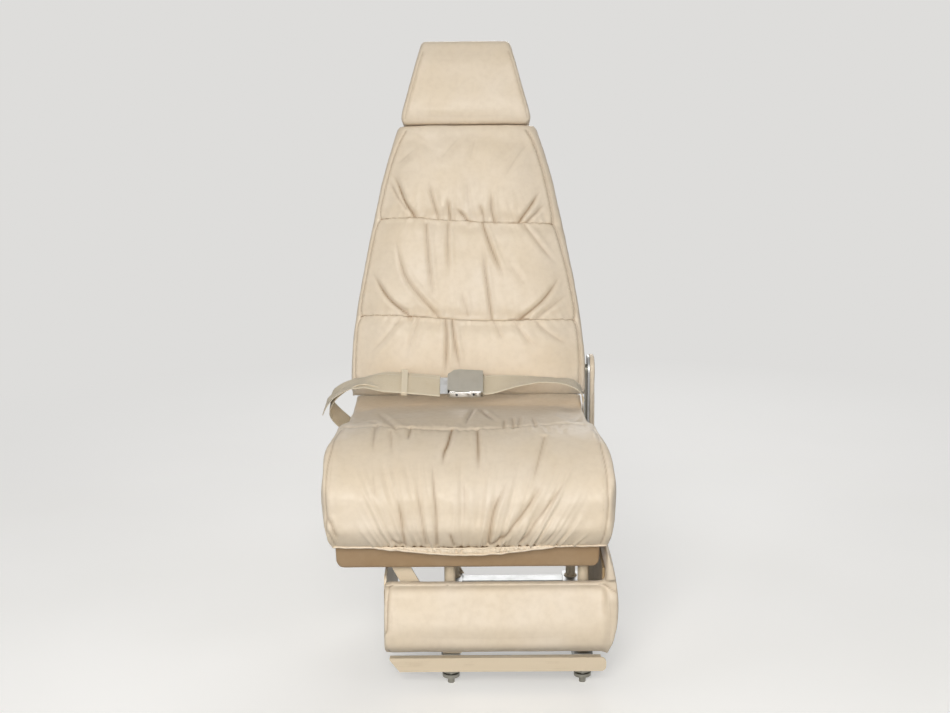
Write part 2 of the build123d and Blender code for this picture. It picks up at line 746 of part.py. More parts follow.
# Back frame: two uprights that turn on the pins and draw together towards the headrest
upright_slope = (upright_out - upright_top_out) / (upright_top - upright_knee)


def upright_inner(height):
    """Half the room between the uprights at a height along the back."""
    return upright_in - max(0, height - upright_knee) * upright_slope


for side, name in ((-1, "left_upright"), (1, "right_upright")):
    with BuildPart() as upright:
        with BuildSketch(back_plane.offset(-UPRIGHT_DEPTH / 2)):
            with BuildLine():
                Polyline(
                    (side * upright_in, 0),
                    (side * upright_out, 0),
                    (side * upright_out, upright_knee),
                    (side * upright_top_out, upright_top),
                    (side * (upright_top_out - UPRIGHT_WIDTH), upright_top),
                    (side * upright_in, upright_knee),
                    close=True,
                )
            make_face()
        extrude(amount=UPRIGHT_DEPTH)
        with BuildSketch(Plane.YZ.offset(SEAT_X + side * upright_in)):
            with Locations((PIVOT_Y, PIVOT_Z)):
                Circle(UPRIGHT_EYE_R)
        extrude(amount=side * UPRIGHT_WIDTH)
        with BuildSketch(Plane.YZ.offset(SEAT_X + side * upright_in)):
            with Locations((PIVOT_Y, PIVOT_Z)):
                Circle(PIVOT_PIN_D / 2 + PIN_PLAY)
        extrude(amount=side * UPRIGHT_WIDTH, mode=Mode.SUBTRACT)
    save(upright, name)

# Cross bars between the uprights; the upper one carries the headrest's guides
guide_d = HEAD_POST_D + 2 * GUIDE_PLAY + 2 * GUIDE_WALL
for low, name in ((lower_bar_low, "back_lower_bar"), (upper_bar_low, "back_upper_bar")):
    high = low + BAR_WIDTH
    with BuildPart() as back_bar:
        with BuildSketch(back_plane.offset(-BAR_DEPTH / 2)):
            with BuildLine():
                Polyline(
                    (-upright_inner(low), low),
                    (upright_inner(low), low),
                    (upright_inner(high), high),
                    (-upright_inner(high), high),
                    close=True,
                )
            make_face()
        extrude(amount=BAR_DEPTH)
        if low == upper_bar_low:
            with BuildSketch(back_level(low - CUT)):
                with Locations((-HEAD_POST_X, 0), (HEAD_POST_X, 0)):
                    Circle(guide_d / 2 + PIN_PLAY)
            extrude(amount=-BAR_WIDTH - 2 * CUT, mode=Mode.SUBTRACT)
    save(back_bar, name)

# Torque tube on the pivot axis, with the arm that the recline rod pushes
half_swing = radians(RECLINE / 2)
eye = Vector(PIVOT_Y + ARM_RADIUS * sin(half_swing), PIVOT_Z - ARM_RADIUS * cos(half_swing))
with BuildPart() as torque_tube:
    with BuildSketch(Plane.YZ.offset(SEAT_X)):
        with Locations((PIVOT_Y, PIVOT_Z)):
            Circle(TORQUE_TUBE_D / 2)
    extrude(amount=upright_in - GAP, both=True)
    with BuildSketch(Plane.YZ.offset(SEAT_X)):
        with Locations((PIVOT_Y, PIVOT_Z)):
            Circle(ARM_HUB_R)
        with Locations(eye):
            Circle(ARM_EYE_R)
        make_hull()
    extrude(amount=ARM_T / 2, both=True)
    with BuildSketch(Plane.YZ.offset(SEAT_X)):
        with Locations((PIVOT_Y, PIVOT_Z)):
            Circle(TORQUE_TUBE_D / 2 - TORQUE_TUBE_WALL)
        with Locations(eye):
            Circle(ROD_PIN_D / 2 + ARM_EYE_PLAY)
    extrude(amount=upright_in, both=True, mode=Mode.SUBTRACT)
save(torque_tube, "torque_tube")

# Back pan, a sheet in front of the uprights with a column of holes that narrow upwards
pan_face_z = UPRIGHT_DEPTH / 2 + GAP
back_pan_pitch = (upright_top - back_pan_low) / (BACK_PAN_ROWS + BACK_PAN_TOP_SHARE)
with BuildPart() as back_pan:
    with BuildSketch(back_plane.offset(pan_face_z)):
        with BuildLine():
            Polyline(
                (-upright_out, back_pan_low),
                (upright_out, back_pan_low),
                (upright_out, upright_knee),
                (upright_top_out, upright_top),
                (-upright_top_out, upright_top),
                (-upright_out, upright_knee),
                close=True,
            )
        make_face()
        for row in range(BACK_PAN_ROWS):
            with Locations((0, back_pan_low + back_pan_pitch * (row + 1 / 2))):
                with GridLocations(back_pan_pitch, 0, 3 - row // 2, 1):
                    Circle(BACK_PAN_HOLE_D / 2 - row * BACK_PAN_HOLE_SHRINK / 2, mode=Mode.SUBTRACT)
    extrude(amount=BACK_PAN_T)
save(back_pan, "back_pan")

# Back cushion and rear shell: lofts through sections square to the back
back_height = BACK_TOP - BACK_LOW
cushion_rear_z = pan_face_z + BACK_PAN_T + GAP


def crowned_section(height, half, rear, side, crown):
    """Sketch a section at a height: flat on one side, crowned on the other."""
    with BuildSketch(back_level(height)) as section:
        with BuildLine():
            flat = Line((-half, rear), (half, rear))
            right = Line(flat @ 1, (half, side))
            left = Line((-half, side), flat @ 0)
            Spline(
                right @ 1,
                (half * BACK_SHOULDER_SHARE, side + (crown - side) * BACK_SHOULDER_SHARE),
                (0, crown),
                (-half * BACK_SHOULDER_SHARE, side + (crown - side) * BACK_SHOULDER_SHARE),
                left @ 0,
            )
        make_face()
    return section.sketch


with BuildPart() as back_cushion:
    for level, half_share, crown_share in zip(BACK_LEVEL_SHARES, BACK_HALF_SHARES, BACK_CROWN_SHARES):
        crown = BACK_CROWN * crown_share
        add(
            crowned_section(
                BACK_LOW + back_height * level,
                back_half * half_share,
                cushion_rear_z,
                cushion_rear_z + (crown - cushion_rear_z) * BACK_SIDE_SHARE,
                crown,
            )
        )
    loft()
save(back_cushion, "back_cushion")

with BuildPart() as shell_room:
    for level, half_share in zip(BACK_LEVEL_SHARES, BACK_HALF_SHARES):
        height = BACK_LOW + back_height * level
        height += {0: -CUT, 1: -SHELL_WALL}.get(level, 0)
        add(
            crowned_section(
                height,
                back_half * half_share - SHELL_WALL,
                cushion_rear_z + CUT,
                -SHELL_EDGE + SHELL_WALL,
                -SHELL_CROWN + SHELL_WALL,
            )
        )
    loft()

with BuildPart() as back_shell:
    for level, half_share in zip(BACK_LEVEL_SHARES, BACK_HALF_SHARES):
        add(
            crowned_section(
                BACK_LOW + back_height * level,
                back_half * half_share,
                cushion_rear_z - GAP,
                -SHELL_EDGE,
                -SHELL_CROWN,
            )
        )
    loft()
    add(shell_room.part, mode=Mode.SUBTRACT)
    with BuildSketch(back_level(BACK_TOP - SHELL_WALL - CUT)):
        with Locations((-HEAD_POST_X, 0), (HEAD_POST_X, 0)):
            Circle(HEAD_POST_D / 2 + GAP)
    extrude(amount=-SHELL_WALL - 2 * CUT, mode=Mode.SUBTRACT)
save(back_shell, "back_shell")

# Headrest: guides in the upper bar, posts, a plate behind the foam, and the cushion
with BuildPart() as headrest_guides:
    with BuildSketch(back_level(upper_bar_low)):
        with Locations((-HEAD_POST_X, 0), (HEAD_POST_X, 0)):
            Circle(guide_d / 2)
            Circle(guide_d / 2 - GUIDE_WALL, mode=Mode.SUBTRACT)
    extrude(amount=GUIDE_TOP_DROP - UPPER_BAR_DROP)
save(headrest_guides, "headrest_guides")

with BuildPart() as headrest_posts:
    with BuildSketch(back_level(BACK_TOP - HEAD_POST_DROP)):
        with Locations((-HEAD_POST_X, 0), (HEAD_POST_X, 0)):
            Circle(HEAD_POST_D / 2)
    extrude(amount=-HEAD_POST_DROP - HEAD_GAP - HEAD_POST_RISE)
save(headrest_posts, "headrest_posts")

plate_z = HEAD_POST_D / 2 + GAP
with BuildPart() as headrest_plate:
    with BuildSketch(back_plane.offset(plate_z)) as plate_face:
        with Locations((0, (head_plate_low + head_plate_high) / 2)):
            RectangleRounded(2 * HEAD_PLATE_HALF, head_plate_high - head_plate_low, HEAD_EDGE_R)
            with GridLocations(HEAD_PLATE_HALF, HEAD_PLATE_HALF * 2 / 3, 2, 2):
                Circle(HEAD_PLATE_HOLE_D / 2, mode=Mode.SUBTRACT)
    extrude(amount=HEAD_PLATE_T)
save(headrest_plate, "headrest_plate")

with BuildPart() as headrest_cushion:
    for height, half, trim in (
        (head_low, HEAD_HALF_LOW, 0),
        (head_low + HEAD_LENGTH, HEAD_HALF_TOP, HEAD_TAPER),
    ):
        with BuildSketch(back_level(height)):
            with BuildLine():
                Polyline(
                    (-half, -HEAD_REAR),
                    (half, -HEAD_REAR),
                    (half, HEAD_FRONT - trim),
                    (-half, HEAD_FRONT - trim),
                    close=True,
                )
            make_face()
    loft()
    fillet(headrest_cushion.edges(), HEAD_EDGE_R)
    pocket_half = HEAD_PLATE_HALF + POCKET_PLAY
    with BuildSketch(back_plane.offset(-HEAD_POST_D / 2 - GAP)):
        with Locations((0, head_low - CUT)):
            Rectangle(
                2 * pocket_half,
                head_plate_high + POCKET_PLAY - head_low + CUT,
                align=(Align.CENTER, Align.MIN),
            )
    extrude(amount=HEAD_POST_D + HEAD_PLATE_T + 3 * GAP, mode=Mode.SUBTRACT)
save(headrest_cushion, "headrest_cushion")

# Recline actuator: a hanger on the front cross beam, the cylinder, its pin, the rod and the rod's pin
rod_z = eye.Y - ARM_RADIUS * (1 - cos(radians(RECLINE / 2))) / 2
cross_rear_y = -post_y + CROSS_WIDTH / 2
ear_in = CYLINDER_EYE_T / 2 + GAP
with BuildPart() as cylinder_hanger:
    with BuildSketch(Plane.XZ.offset(-cross_rear_y - GAP)):
        with Locations((SEAT_X, HANGER_BOTTOM)):
            Rectangle(
                HANGER_WIDTH, RAIL_BOTTOM + CROSS_WIDTH - HANGER_BOTTOM, align=(Align.CENTER, Align.MIN)
            )
    extrude(amount=-HANGER_T)
    for side in (-1, 1):
        with BuildSketch(Plane.YZ.offset(SEAT_X + side * ear_in)):
            with BuildLine():
                Polyline(
                    (cross_rear_y + HANGER_T, HANGER_BOTTOM),
                    (CYLINDER_EYE_Y, rod_z - CYLINDER_EYE_R),
                    (CYLINDER_EYE_Y, rod_z + CYLINDER_EYE_R),
                    (cross_rear_y + HANGER_T, RAIL_BOTTOM + CROSS_WIDTH),
                    close=True,
                )
            make_face()
            with Locations((CYLINDER_EYE_Y, rod_z)):
                Circle(CYLINDER_EYE_R)
                Circle(ROD_PIN_D / 2 + PIN_PLAY, mode=Mode.SUBTRACT)
        extrude(amount=side * HANGER_EAR_T)
save(cylinder_hanger, "cylinder_hanger")

with BuildPart() as cylinder_pin:
    with BuildSketch(Plane.YZ.offset(SEAT_X)):
        with Locations((CYLINDER_EYE_Y, rod_z)):
            Circle(ROD_PIN_D / 2)
    extrude(amount=ear_in + HANGER_EAR_T + PIVOT_HEAD_T, both=True)
save(cylinder_pin, "cylinder_pin")

with BuildPart() as recline_cylinder:
    with BuildSketch(Plane.XZ.offset(-CYLINDER_REAR_Y)):
        with Locations((SEAT_X, rod_z)):
            Circle(CYLINDER_D / 2)
    extrude(amount=CYLINDER_REAR_Y - CYLINDER_FRONT_Y)
    for y in (CYLINDER_REAR_Y, CYLINDER_FRONT_Y + CYLINDER_COLLAR_L):
        with BuildSketch(Plane.XZ.offset(-y)):
            with Locations((SEAT_X, rod_z)):
                Circle(CYLINDER_COLLAR_D / 2)
        extrude(amount=CYLINDER_COLLAR_L)
    with BuildSketch(Plane.YZ.offset(SEAT_X)):
        with Locations((CYLINDER_EYE_Y, rod_z), (CYLINDER_FRONT_Y + CYLINDER_COLLAR_L / 2, rod_z)):
            Circle(CYLINDER_EYE_R)
        make_hull()
    extrude(amount=CYLINDER_EYE_T / 2, both=True)
    with BuildSketch(Plane.YZ.offset(SEAT_X)):
        with Locations((CYLINDER_EYE_Y, rod_z)):
            Circle(ROD_PIN_D / 2 + PIN_PLAY)
    extrude(amount=CYLINDER_EYE_T, both=True, mode=Mode.SUBTRACT)
    with BuildSketch(Plane.XZ.offset(-CYLINDER_REAR_Y)):
        with Locations((SEAT_X, rod_z)):
            Circle(ROD_D / 2 + GUIDE_PLAY)
    extrude(amount=CYLINDER_REAR_Y - CYLINDER_BORE_FRONT_Y, mode=Mode.SUBTRACT)
save(recline_cylinder, "recline_cylinder")

fork_in = ARM_T / 2 + GAP
fork_front_y = eye.X - ROD_FORK_BACK
with BuildPart() as recline_rod:
    with BuildSketch(Plane.XZ.offset(-fork_front_y)):
        with Locations((SEAT_X, rod_z)):
            Circle(ROD_D / 2)
    extrude(amount=fork_front_y - ROD_FRONT_Y)
    with BuildSketch(Plane.XZ.offset(-fork_front_y)):
        with Locations((SEAT_X, rod_z)):
            RectangleRounded(2 * (fork_in + ROD_FORK_T), 2 * ARM_EYE_R - 2 * GAP, ROD_FORK_R)
    extrude(amount=-(ROD_FORK_BACK - ARM_EYE_R - ROD_FORK_T))
    for side in (-1, 1):
        with BuildSketch(Plane.YZ.offset(SEAT_X + side * fork_in)):
            with Locations((eye.X, rod_z)):
                Circle(ARM_EYE_R - GAP)
            with Locations((fork_front_y, rod_z)):
                Rectangle(ROD_FORK_BACK, 2 * (ARM_EYE_R - GAP), align=(Align.MIN, Align.CENTER))
            with Locations((eye.X, rod_z)):
                Circle(ROD_PIN_D / 2 + PIN_PLAY, mode=Mode.SUBTRACT)
        extrude(amount=side * ROD_FORK_T)
save(recline_rod, "recline_rod")

with BuildPart() as rod_pin:
    with BuildSketch(Plane.YZ.offset(SEAT_X)):
        with Locations((eye.X, rod_z)):
            Circle(ROD_PIN_D / 2)
    extrude(amount=fork_in + ROD_FORK_T + PIVOT_HEAD_T / 2, both=True)
save(rod_pin, "rod_pin")

# Side plate on the right bracket; it carries the armrest's guide and the release lever
side_plate_x = SEAT_X + bracket_out + GAP
side_plate_out = side_plate_x + SIDE_PLATE_T
with BuildPart() as side_plate:
    with BuildSketch(Plane.YZ.offset(side_plate_x)) as side_plate_face:
        with BuildLine():
            Polyline(
                (SIDE_PLATE_FRONT_Y, LEVER_Z - LEVER_HUB_R),
                (LEVER_Y + LEVER_HUB_R, SIDE_PLATE_BOTTOM),
                (SIDE_PLATE_REAR_Y, SIDE_PLATE_BOTTOM),
                (SIDE_PLATE_REAR_Y, SIDE_PLATE_TOP),
                (SIDE_PLATE_FRONT_Y, SIDE_PLATE_TOP),
                close=True,
            )
        make_face()
        fillet(side_plate_face.vertices(), BRACKET_CORNER_R)
        with Locations((LEVER_Y, LEVER_Z)):
            Circle(LEVER_PIN_D / 2 + PIN_PLAY, mode=Mode.SUBTRACT)
    extrude(amount=SIDE_PLATE_T)
save(side_plate, "side_plate")

bar_x = side_plate_out + BAR_OFFSET
guide_in = bar_x - GAP
with BuildPart() as armrest_guide:
    with BuildSketch(Plane.XY.offset(GUIDE_BLOCK_BOTTOM)):
        with Locations((side_plate_out + GAP, BAR_Y)):
            Rectangle(
                bar_x + BAR_T + GAP + GUIDE_BLOCK_WALL - side_plate_out - GAP,
                BAR_W + 2 * GAP + 2 * GUIDE_BLOCK_SIDE,
                align=(Align.MIN, Align.CENTER),
            )
        with Locations((guide_in, BAR_Y)):
            Rectangle(BAR_T + 2 * GAP, BAR_W + 2 * GAP, align=(Align.MIN, Align.CENTER), mode=Mode.SUBTRACT)
    extrude(amount=GUIDE_BLOCK_TOP - GUIDE_BLOCK_BOTTOM)
save(armrest_guide, "armrest_guide")

core_x = bar_x + BAR_T + GAP
pad_x = core_x + ARMREST_CORE_T + GAP
with BuildPart() as armrest_bar:
    with BuildSketch(Plane.YZ.offset(bar_x)):
        with Locations((BAR_Y, BAR_FOOT)):
            Rectangle(BAR_W, ARMREST_PIVOT_Z - BAR_FOOT, align=(Align.CENTER, Align.MIN))
        with Locations((BAR_Y, ARMREST_PIVOT_Z)):
            Circle(BAR_W / 2)
    extrude(amount=BAR_T)
    with BuildSketch(Plane.YZ.offset(bar_x)):
        with Locations((BAR_Y, ARMREST_PIVOT_Z)):
            Circle(ARMREST_PIN_D / 2)
    extrude(amount=core_x + ARMREST_CORE_T - bar_x)
save(armrest_bar, "armrest_bar")

tip_z = ARMREST_PIVOT_Z - ARMREST_REACH + ARMREST_TIP_R
with BuildPart() as armrest_core:
    with BuildSketch(Plane.YZ.offset(core_x)):
        with Locations((BAR_Y, ARMREST_PIVOT_Z)):
            Circle(ARMREST_R - ARMREST_PAD_MARGIN)
        with Locations((BAR_Y, tip_z)):
            Circle(ARMREST_TIP_R - ARMREST_PAD_MARGIN)
        make_hull()
        with Locations((BAR_Y, ARMREST_PIVOT_Z)):
            Circle(ARMREST_PIN_D / 2 + PIN_PLAY, mode=Mode.SUBTRACT)
    extrude(amount=ARMREST_CORE_T)
save(armrest_core, "armrest_core")

with BuildPart() as armrest_pad:
    with BuildSketch(Plane.YZ.offset(pad_x)):
        with Locations((BAR_Y, ARMREST_PIVOT_Z)):
            Circle(ARMREST_R)
        with Locations((BAR_Y, tip_z)):
            Circle(ARMREST_TIP_R)
        make_hull()
    extrude(amount=ARMREST_PAD_T)
    fillet(armrest_pad.faces().sort_by(Axis.X)[-1].edges(), SKIRT_EDGE_R)
save(armrest_pad, "armrest_pad")

# Release lever, on a headed pin through the side plate
lever_x = side_plate_out + GAP
with BuildPart() as release_lever:
    with BuildSketch(Plane.YZ.offset(lever_x)):
        with Locations((LEVER_Y, LEVER_Z)):
            Circle(LEVER_HUB_R)
            with Locations(Location((0, 0), LEVER_ANGLE)):
                Rectangle(LEVER_LENGTH, LEVER_NECK, align=(Align.MIN, Align.CENTER))
            Circle(LEVER_PIN_D / 2 + PIN_PLAY, mode=Mode.SUBTRACT)
    extrude(amount=LEVER_T)
    with BuildSketch(
        Plane(
            origin=(lever_x, LEVER_Y, LEVER_Z),
            x_dir=(0, cos(radians(LEVER_ANGLE)), sin(radians(LEVER_ANGLE))),
            z_dir=(0, -sin(radians(LEVER_ANGLE)), cos(radians(LEVER_ANGLE))),
        ).offset(LEVER_NECK / 2 - LEVER_PADDLE_T)
    ):
        with Locations((LEVER_LENGTH - LEVER_PADDLE_L, 0)):
            Rectangle(LEVER_PADDLE_L, LEVER_PADDLE_W, align=(Align.MIN, Align.MAX))
    extrude(amount=LEVER_PADDLE_T)
save(release_lever, "release_lever")

with BuildPart() as lever_pin:
    with BuildSketch(Plane.YZ.offset(side_plate_x)):
        with Locations((LEVER_Y, LEVER_Z)):
            Circle(LEVER_PIN_D / 2)
    extrude(amount=lever_x + LEVER_T + GAP - side_plate_x)
    with BuildSketch(Plane.YZ.offset(lever_x + LEVER_T + GAP)):
        with Locations((LEVER_Y, LEVER_Z)):
            Circle(LEVER_PIN_D / 2 + LEVER_PIN_RIM)
    extrude(amount=LEVER_PIN_HEAD_T)
save(lever_pin, "lever_pin")

# Lap belt webbing. A route is drawn in the plane of the belt: X across the seat, Y away from it.
left_start = (TONGUE_LEFT + TONGUE_HEAD - GAP, TONGUE_LEVEL + TONGUE_T + GAP + WEB_T / 2)
left_bends = [(-belt_side * out, belt_side * up) for out, up in LEFT_SHARES]
left_route = [left_start, *left_bends, (-belt_side, BELT_END)]
tail_bends = [(-belt_side * out, belt_side * up) for out, up in TAIL_SHARES]
tail_route = [(x, y + TAIL_RISE) for x, y in left_route[:3]] + tail_bends
right_level = BUCKLE_FLOOR + BUCKLE_SHEET + WEB_T
right_bends = [(belt_side * out, belt_side * up) for out, up in RIGHT_SHARES]
right_route = [
    (BUCKLE_BAR_X + BUCKLE_PIN_D, right_level),
    (BUCKLE_RIGHT + BUCKLE_PIN_D, right_level),
    *right_bends,
    (belt_side, BELT_END),
]
for route, shift, name in (
    (left_route, 0, "belt_left"),
    (tail_route, TAIL_SHIFT, "belt_tail"),
    (right_route, 0, "belt_right"),
):
    with BuildPart() as webbing:
        with BuildSketch(belt_plane.offset(shift)):
            with BuildLine():
                FilletPolyline(*route, radius=WEB_BEND_R)
            trace(line_width=WEB_T)
        extrude(amount=WEB_WIDTH / 2, both=True)
    save(webbing, name)

# Keeper, a loop round the two layers of the left half
rise = Vector(*left_route[1]) - Vector(*left_route[0])
keeper_share = (KEEPER_X - left_route[0][0]) / rise.X
keeper_mid = Vector(*left_route[0]) + rise * keeper_share
keeper_plane = Plane(
    origin=belt_plane.from_local_coords((keeper_mid.X, keeper_mid.Y + TAIL_RISE / 2, TAIL_SHIFT / 2)),
    x_dir=belt_plane.z_dir,
    z_dir=(belt_plane.x_dir * rise.X + belt_plane.y_dir * rise.Y),
)
keeper_room_w = WEB_WIDTH + TAIL_SHIFT + 2 * KEEPER_ROOM
keeper_room_h = TAIL_RISE + WEB_T + 2 * KEEPER_ROOM
with BuildPart() as belt_keeper:
    with BuildSketch(keeper_plane):
        RectangleRounded(keeper_room_w + 2 * KEEPER_T, keeper_room_h + 2 * KEEPER_T, KEEPER_T)
        Rectangle(keeper_room_w, keeper_room_h, mode=Mode.SUBTRACT)
    extrude(amount=KEEPER_W / 2, both=True)
save(belt_keeper, "belt_keeper")

# Anchor plates on the brackets' ears, and their bolts
anchor = belt_plane.to_local_coords(Vector(SEAT_X, ANCHOR_Y, ANCHOR_Z))
belt_side_plane = Plane(origin=(SEAT_X, BELT_Y, BELT_Z), x_dir=belt_plane.z_dir, z_dir=(-1, 0, 0))
with BuildPart() as belt_anchors:
    for side in (-1, 1):
        with BuildSketch(belt_side_plane.offset(-side * (bracket_out + GAP))):
            with Locations((0, ANCHOR_PLATE_TOP - ANCHOR_PLATE_H / 2)):
                RectangleRounded(ANCHOR_PLATE_W, ANCHOR_PLATE_H, BRACKET_CORNER_R)
            with Locations((anchor.Z, anchor.Y)):
                Circle(ANCHOR_EYE_R)
            make_hull()
            with Locations((anchor.Z, anchor.Y)):
                Circle(BOLT_D / 2 + PIN_PLAY, mode=Mode.SUBTRACT)
        extrude(amount=-side * ANCHOR_PLATE_T)
save(belt_anchors, "belt_anchors")

with BuildPart() as anchor_bolts:
    for side in (-1, 1):
        with BuildSketch(Plane.YZ.offset(SEAT_X + side * bracket_in)):
            with Locations((ANCHOR_Y, ANCHOR_Z)):
                Circle(BOLT_D / 2)
        extrude(amount=side * (BRACKET_T + 2 * GAP + ANCHOR_PLATE_T))
        with BuildSketch(Plane.YZ.offset(SEAT_X + side * (bracket_out + 2 * GAP + ANCHOR_PLATE_T))):
            with Locations((ANCHOR_Y, ANCHOR_Z)):
                Circle(ANCHOR_HEAD_R)
        extrude(amount=side * ANCHOR_HEAD_T)
save(anchor_bolts, "anchor_bolts")

# Buckle: tongue, base, pins and lid
with BuildPart() as buckle_tongue:
    with BuildSketch(
        Plane(
            origin=belt_plane.from_local_coords((0, TONGUE_LEVEL, 0)), x_dir=(1, 0, 0), z_dir=belt_plane.y_dir
        )
    ) as tongue_face:
        with Locations((TONGUE_LEFT, 0)):
            Rectangle(TONGUE_HEAD, WEB_WIDTH + TONGUE_T * 2, align=(Align.MIN, Align.CENTER))
            Rectangle(TONGUE_RIGHT - TONGUE_LEFT, 2 * TONGUE_HALF, align=(Align.MIN, Align.CENTER))
        fillet(tongue_face.vertices(), TONGUE_T)
        with Locations((TONGUE_LEFT + TONGUE_HEAD - TONGUE_SLOT, 0)):
            Rectangle(TONGUE_SLOT, 2 * TONGUE_HALF, mode=Mode.SUBTRACT)
        with Locations((BUCKLE_LATCH_X, 0)):
            Rectangle(TONGUE_LATCH_SLOT, TONGUE_HALF, mode=Mode.SUBTRACT)
    extrude(amount=TONGUE_T)
save(buckle_tongue, "buckle_tongue")

base_half = BUCKLE_HALF - BUCKLE_SHEET - GAP
with BuildPart() as buckle_base:
    with BuildSketch(belt_plane) as base_wall:
        with Locations((BUCKLE_LEFT, BUCKLE_FLOOR)):
            Rectangle(
                BUCKLE_RIGHT - BUCKLE_LEFT, BUCKLE_WALL_TOP - BUCKLE_FLOOR, align=(Align.MIN, Align.MIN)
            )
        fillet(base_wall.vertices().group_by(Axis.Z)[-1], BUCKLE_PIN_D)
    extrude(amount=base_half, both=True)
    with BuildSketch(belt_plane):
        with Locations((BUCKLE_LEFT - CUT, BUCKLE_FLOOR + BUCKLE_SHEET)):
            Rectangle(
                BUCKLE_RIGHT - BUCKLE_LEFT + 2 * CUT, CUT + BUCKLE_WALL_TOP, align=(Align.MIN, Align.MIN)
            )
    extrude(amount=base_half - BUCKLE_SHEET, both=True, mode=Mode.SUBTRACT)
    with BuildSketch(belt_plane):
        with Locations(*[(x, BUCKLE_PIN_LEVEL) for x in (BUCKLE_HINGE_X, BUCKLE_BAR_X, BUCKLE_LATCH_X)]):
            Circle(BUCKLE_PIN_D / 2 + PIN_PLAY)
    extrude(amount=BUCKLE_HALF, both=True, mode=Mode.SUBTRACT)
save(buckle_base, "buckle_base")

with BuildPart() as buckle_pins:
    with BuildSketch(belt_plane):
        with Locations((BUCKLE_BAR_X, BUCKLE_PIN_LEVEL), (BUCKLE_LATCH_X, BUCKLE_PIN_LEVEL)):
            Circle(BUCKLE_PIN_D / 2)
    extrude(amount=base_half, both=True)
    with BuildSketch(belt_plane):
        with Locations((BUCKLE_HINGE_X, BUCKLE_PIN_LEVEL)):
            Circle(BUCKLE_PIN_D / 2)
    extrude(amount=BUCKLE_HALF, both=True)
save(buckle_pins, "buckle_pins")


def lid_profile(inset):
    """Sketch the lid's side view, drawn in by an inset on its top and ends."""
    with BuildSketch(belt_plane) as profile:
        with BuildLine():
            Polyline(
                (BUCKLE_LEFT - inset, LID_SKIRT - inset),
                (BUCKLE_LEFT - inset, LID_LEFT_TOP - inset),
                (LID_CREST_X, LID_CREST - inset),
                (LID_RIGHT + inset, LID_RIGHT_TOP - inset),
                (LID_RIGHT + inset, LID_SKIRT - inset),
                close=True,
            )
        make_face()
    return profile.sketch


with BuildPart() as buckle_lid:
    extrude(lid_profile(0), amount=BUCKLE_HALF, both=True)
    upright_edges = buckle_lid.edges().filter_by(
        lambda edge: abs(edge.tangent_at(0).dot(belt_plane.y_dir)) > LID_EDGE_ALONG
    )
    chamfer(upright_edges.sort_by(Axis.X)[:2], LID_CORNER)
    extrude(lid_profile(BUCKLE_SHEET), amount=BUCKLE_HALF - BUCKLE_SHEET, both=True, mode=Mode.SUBTRACT)
    with BuildSketch(belt_plane):
        with Locations((BUCKLE_HINGE_X, BUCKLE_PIN_LEVEL)):
            Circle(BUCKLE_PIN_D / 2 + PIN_PLAY)
    extrude(amount=BUCKLE_HALF, both=True, mode=Mode.SUBTRACT)
save(buckle_lid, "buckle_lid")
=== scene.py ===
"""Looks of a single cabin seat in beige leather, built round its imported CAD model.

Sizes in the classes are in millimetres, and the meshes are in metres. +X is the aisle side, the
seat faces -Y and +Z is up.
"""

import json
import logging
import math
from collections.abc import Sequence
from dataclasses import dataclass, field
from enum import Enum
from functools import lru_cache

import bmesh
import bpy
import numpy as np
from mathutils import Matrix, Vector, noise
from mathutils.bvhtree import BVHTree


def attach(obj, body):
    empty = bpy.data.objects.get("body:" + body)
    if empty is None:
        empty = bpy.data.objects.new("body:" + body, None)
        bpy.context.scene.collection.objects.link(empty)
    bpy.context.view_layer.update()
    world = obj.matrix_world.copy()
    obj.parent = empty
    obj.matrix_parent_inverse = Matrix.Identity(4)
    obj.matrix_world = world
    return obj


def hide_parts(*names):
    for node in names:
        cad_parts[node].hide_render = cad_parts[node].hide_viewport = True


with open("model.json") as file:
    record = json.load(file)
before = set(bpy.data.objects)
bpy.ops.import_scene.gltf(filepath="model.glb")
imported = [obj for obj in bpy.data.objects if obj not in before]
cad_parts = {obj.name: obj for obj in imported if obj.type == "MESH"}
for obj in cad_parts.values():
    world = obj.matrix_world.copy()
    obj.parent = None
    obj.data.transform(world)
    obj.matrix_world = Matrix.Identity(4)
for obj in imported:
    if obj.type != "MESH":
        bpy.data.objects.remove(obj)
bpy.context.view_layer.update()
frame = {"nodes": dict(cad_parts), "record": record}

MM = 0.001
log = logging.getLogger("seat")

Point = tuple[float, float, float]
Flat = tuple[float, float]


# Node and colour helpers


def linear(hex_colour: str) -> tuple[float, float, float, float]:
    """Turn an sRGB hex colour into linear values.

    Args:
        hex_colour: Six hex digits.

    Returns:
        Red, green, blue and an alpha of 1.
    """
    parts = [int(hex_colour[i : i + 2], 16) / 255 for i in (0, 2, 4)]
    turned = [c / 12.92 if c <= 0.04045 else ((c + 0.055) / 1.055) ** 2.4 for c in parts]
    return (*turned, 1.0)


def add_node(tree: bpy.types.NodeTree, kind: str, inputs: dict | None = None, **settings) -> bpy.types.Node:
    """Add a shader node with its settings, values and links.

    Args:
        tree: The node tree.
        kind: The node's type name, without its Shader prefix.
        inputs: Values or output sockets, by the input's name or number.
        **settings: Properties of the node.

    Returns:
        The new node.
    """
    node = tree.nodes.new("ShaderNode" + kind)
    for name, value in settings.items():
        setattr(node, name, value)
    for name, value in (inputs or {}).items():
        if isinstance(value, bpy.types.NodeSocket):
            tree.links.new(value, node.inputs[name])
        else:
            node.inputs[name].default_value = value
    return node


